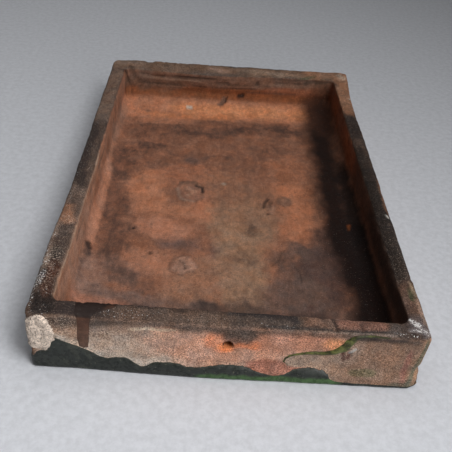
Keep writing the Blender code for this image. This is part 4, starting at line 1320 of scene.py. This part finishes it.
# Lamps, each with its name, place, target, size and power
LAMPS = (
    ("window_light", (0.35, -0.60, 0.90), (-1.20, -0.90, 0.50), 0.6, 14.0),
    ("ceiling_light", (0.0, 0.0, 1.20), (-0.30, -0.30, 0.0), 1.4, 6.5),
    ("front_light", (0.45, -0.85, 0.35), (0.22, -0.30, 0.0), 0.5, 3.2),
)
TABLE_SIZE = 8.0
ROOM_LIGHT = (0.90, 0.95, 1.0, 1.0)
ROOM_STRENGTH = 0.01
CAMERA_PLACE = (-0.020575, -0.424880, 0.287266)
CAMERA_TARGET = (-0.000572, -0.026289, 0.0)
CAMERA_ROLL = 0.0859
LENS = 54.956
SENSOR = 36.0


def add_softbox(name, place, target, size, power):
    """A soft square lamp aimed at a point"""
    bpy.ops.object.light_add(type="AREA", location=place)
    lamp = bpy.context.object
    lamp.name = name
    lamp.data.shape = "SQUARE"
    lamp.data.size = size
    lamp.data.energy = power
    lamp.rotation_euler = (Vector(target) - Vector(place)).to_track_quat("-Z", "Y").to_euler()


def pale_table(settings):
    """Smooth painted board with a faint grain"""
    material = bpy.data.materials.new("pale_table")
    coats = Coats(material)
    board = coats.shade(tuple(settings.table_colour), coats.noise(4.5, 5.0, 0.7), 0.92, 1.08)
    coats.connect(board, coats.shader.inputs["Base Color"])
    coats.shader.inputs["Roughness"].default_value = 0.7
    return material


class TILE_OT_stage(bpy.types.Operator):
    """Set the pale table, the soft lights and the camera"""

    bl_idname = "stove_tile.stage"
    bl_label = "Stage"

    def execute(self, context):
        bpy.ops.mesh.primitive_plane_add(size=TABLE_SIZE, location=(0.0, 0.0, 0.0))
        table = bpy.context.object
        table.name = "pale_table"
        table.data.materials.append(pale_table(context.scene.stove_tile))
        for lamp in LAMPS:
            add_softbox(*lamp)
        world = bpy.data.worlds.new("dim_room")
        world.use_nodes = True
        background = world.node_tree.nodes["Background"]
        background.inputs["Color"].default_value = ROOM_LIGHT
        background.inputs["Strength"].default_value = ROOM_STRENGTH
        context.scene.world = world
        bpy.ops.object.camera_add(location=CAMERA_PLACE)
        camera = bpy.context.object
        camera.name = "camera"
        camera.data.lens = LENS
        camera.data.sensor_width = SENSOR
        aim = (Vector(CAMERA_TARGET) - Vector(CAMERA_PLACE)).to_track_quat("-Z", "Y")
        camera.rotation_euler = (aim @ Quaternion((0.0, 0.0, 1.0), CAMERA_ROLL)).to_euler()
        context.scene.camera = camera
        context.scene.view_settings.view_transform = "Standard"
        return {"FINISHED"}


class TILE_PT_panel(bpy.types.Panel):
    """Buttons for the tile and its stage"""

    bl_idname = "TILE_PT_panel"
    bl_label = "Stove Tile"
    bl_space_type = "VIEW_3D"
    bl_region_type = "UI"
    bl_category = "Stove Tile"

    def draw(self, context):
        for name in StoveTileSettings.__annotations__:
            self.layout.prop(context.scene.stove_tile, name)
        for operator in (TILE_OT_body, TILE_OT_stage):
            self.layout.operator(operator.bl_idname)


CLASSES = (StoveTileSettings, TILE_OT_body, TILE_OT_stage, TILE_PT_panel)


def register():
    for cls in CLASSES:
        bpy.utils.register_class(cls)
    bpy.types.Scene.stove_tile = bpy.props.PointerProperty(type=StoveTileSettings)


def unregister():
    del bpy.types.Scene.stove_tile
    for cls in reversed(CLASSES):
        bpy.utils.unregister_class(cls)


def main():
    register()
    bpy.ops.stove_tile.body()
    bpy.ops.stove_tile.stage()


if __name__ == "__main__":
    main()
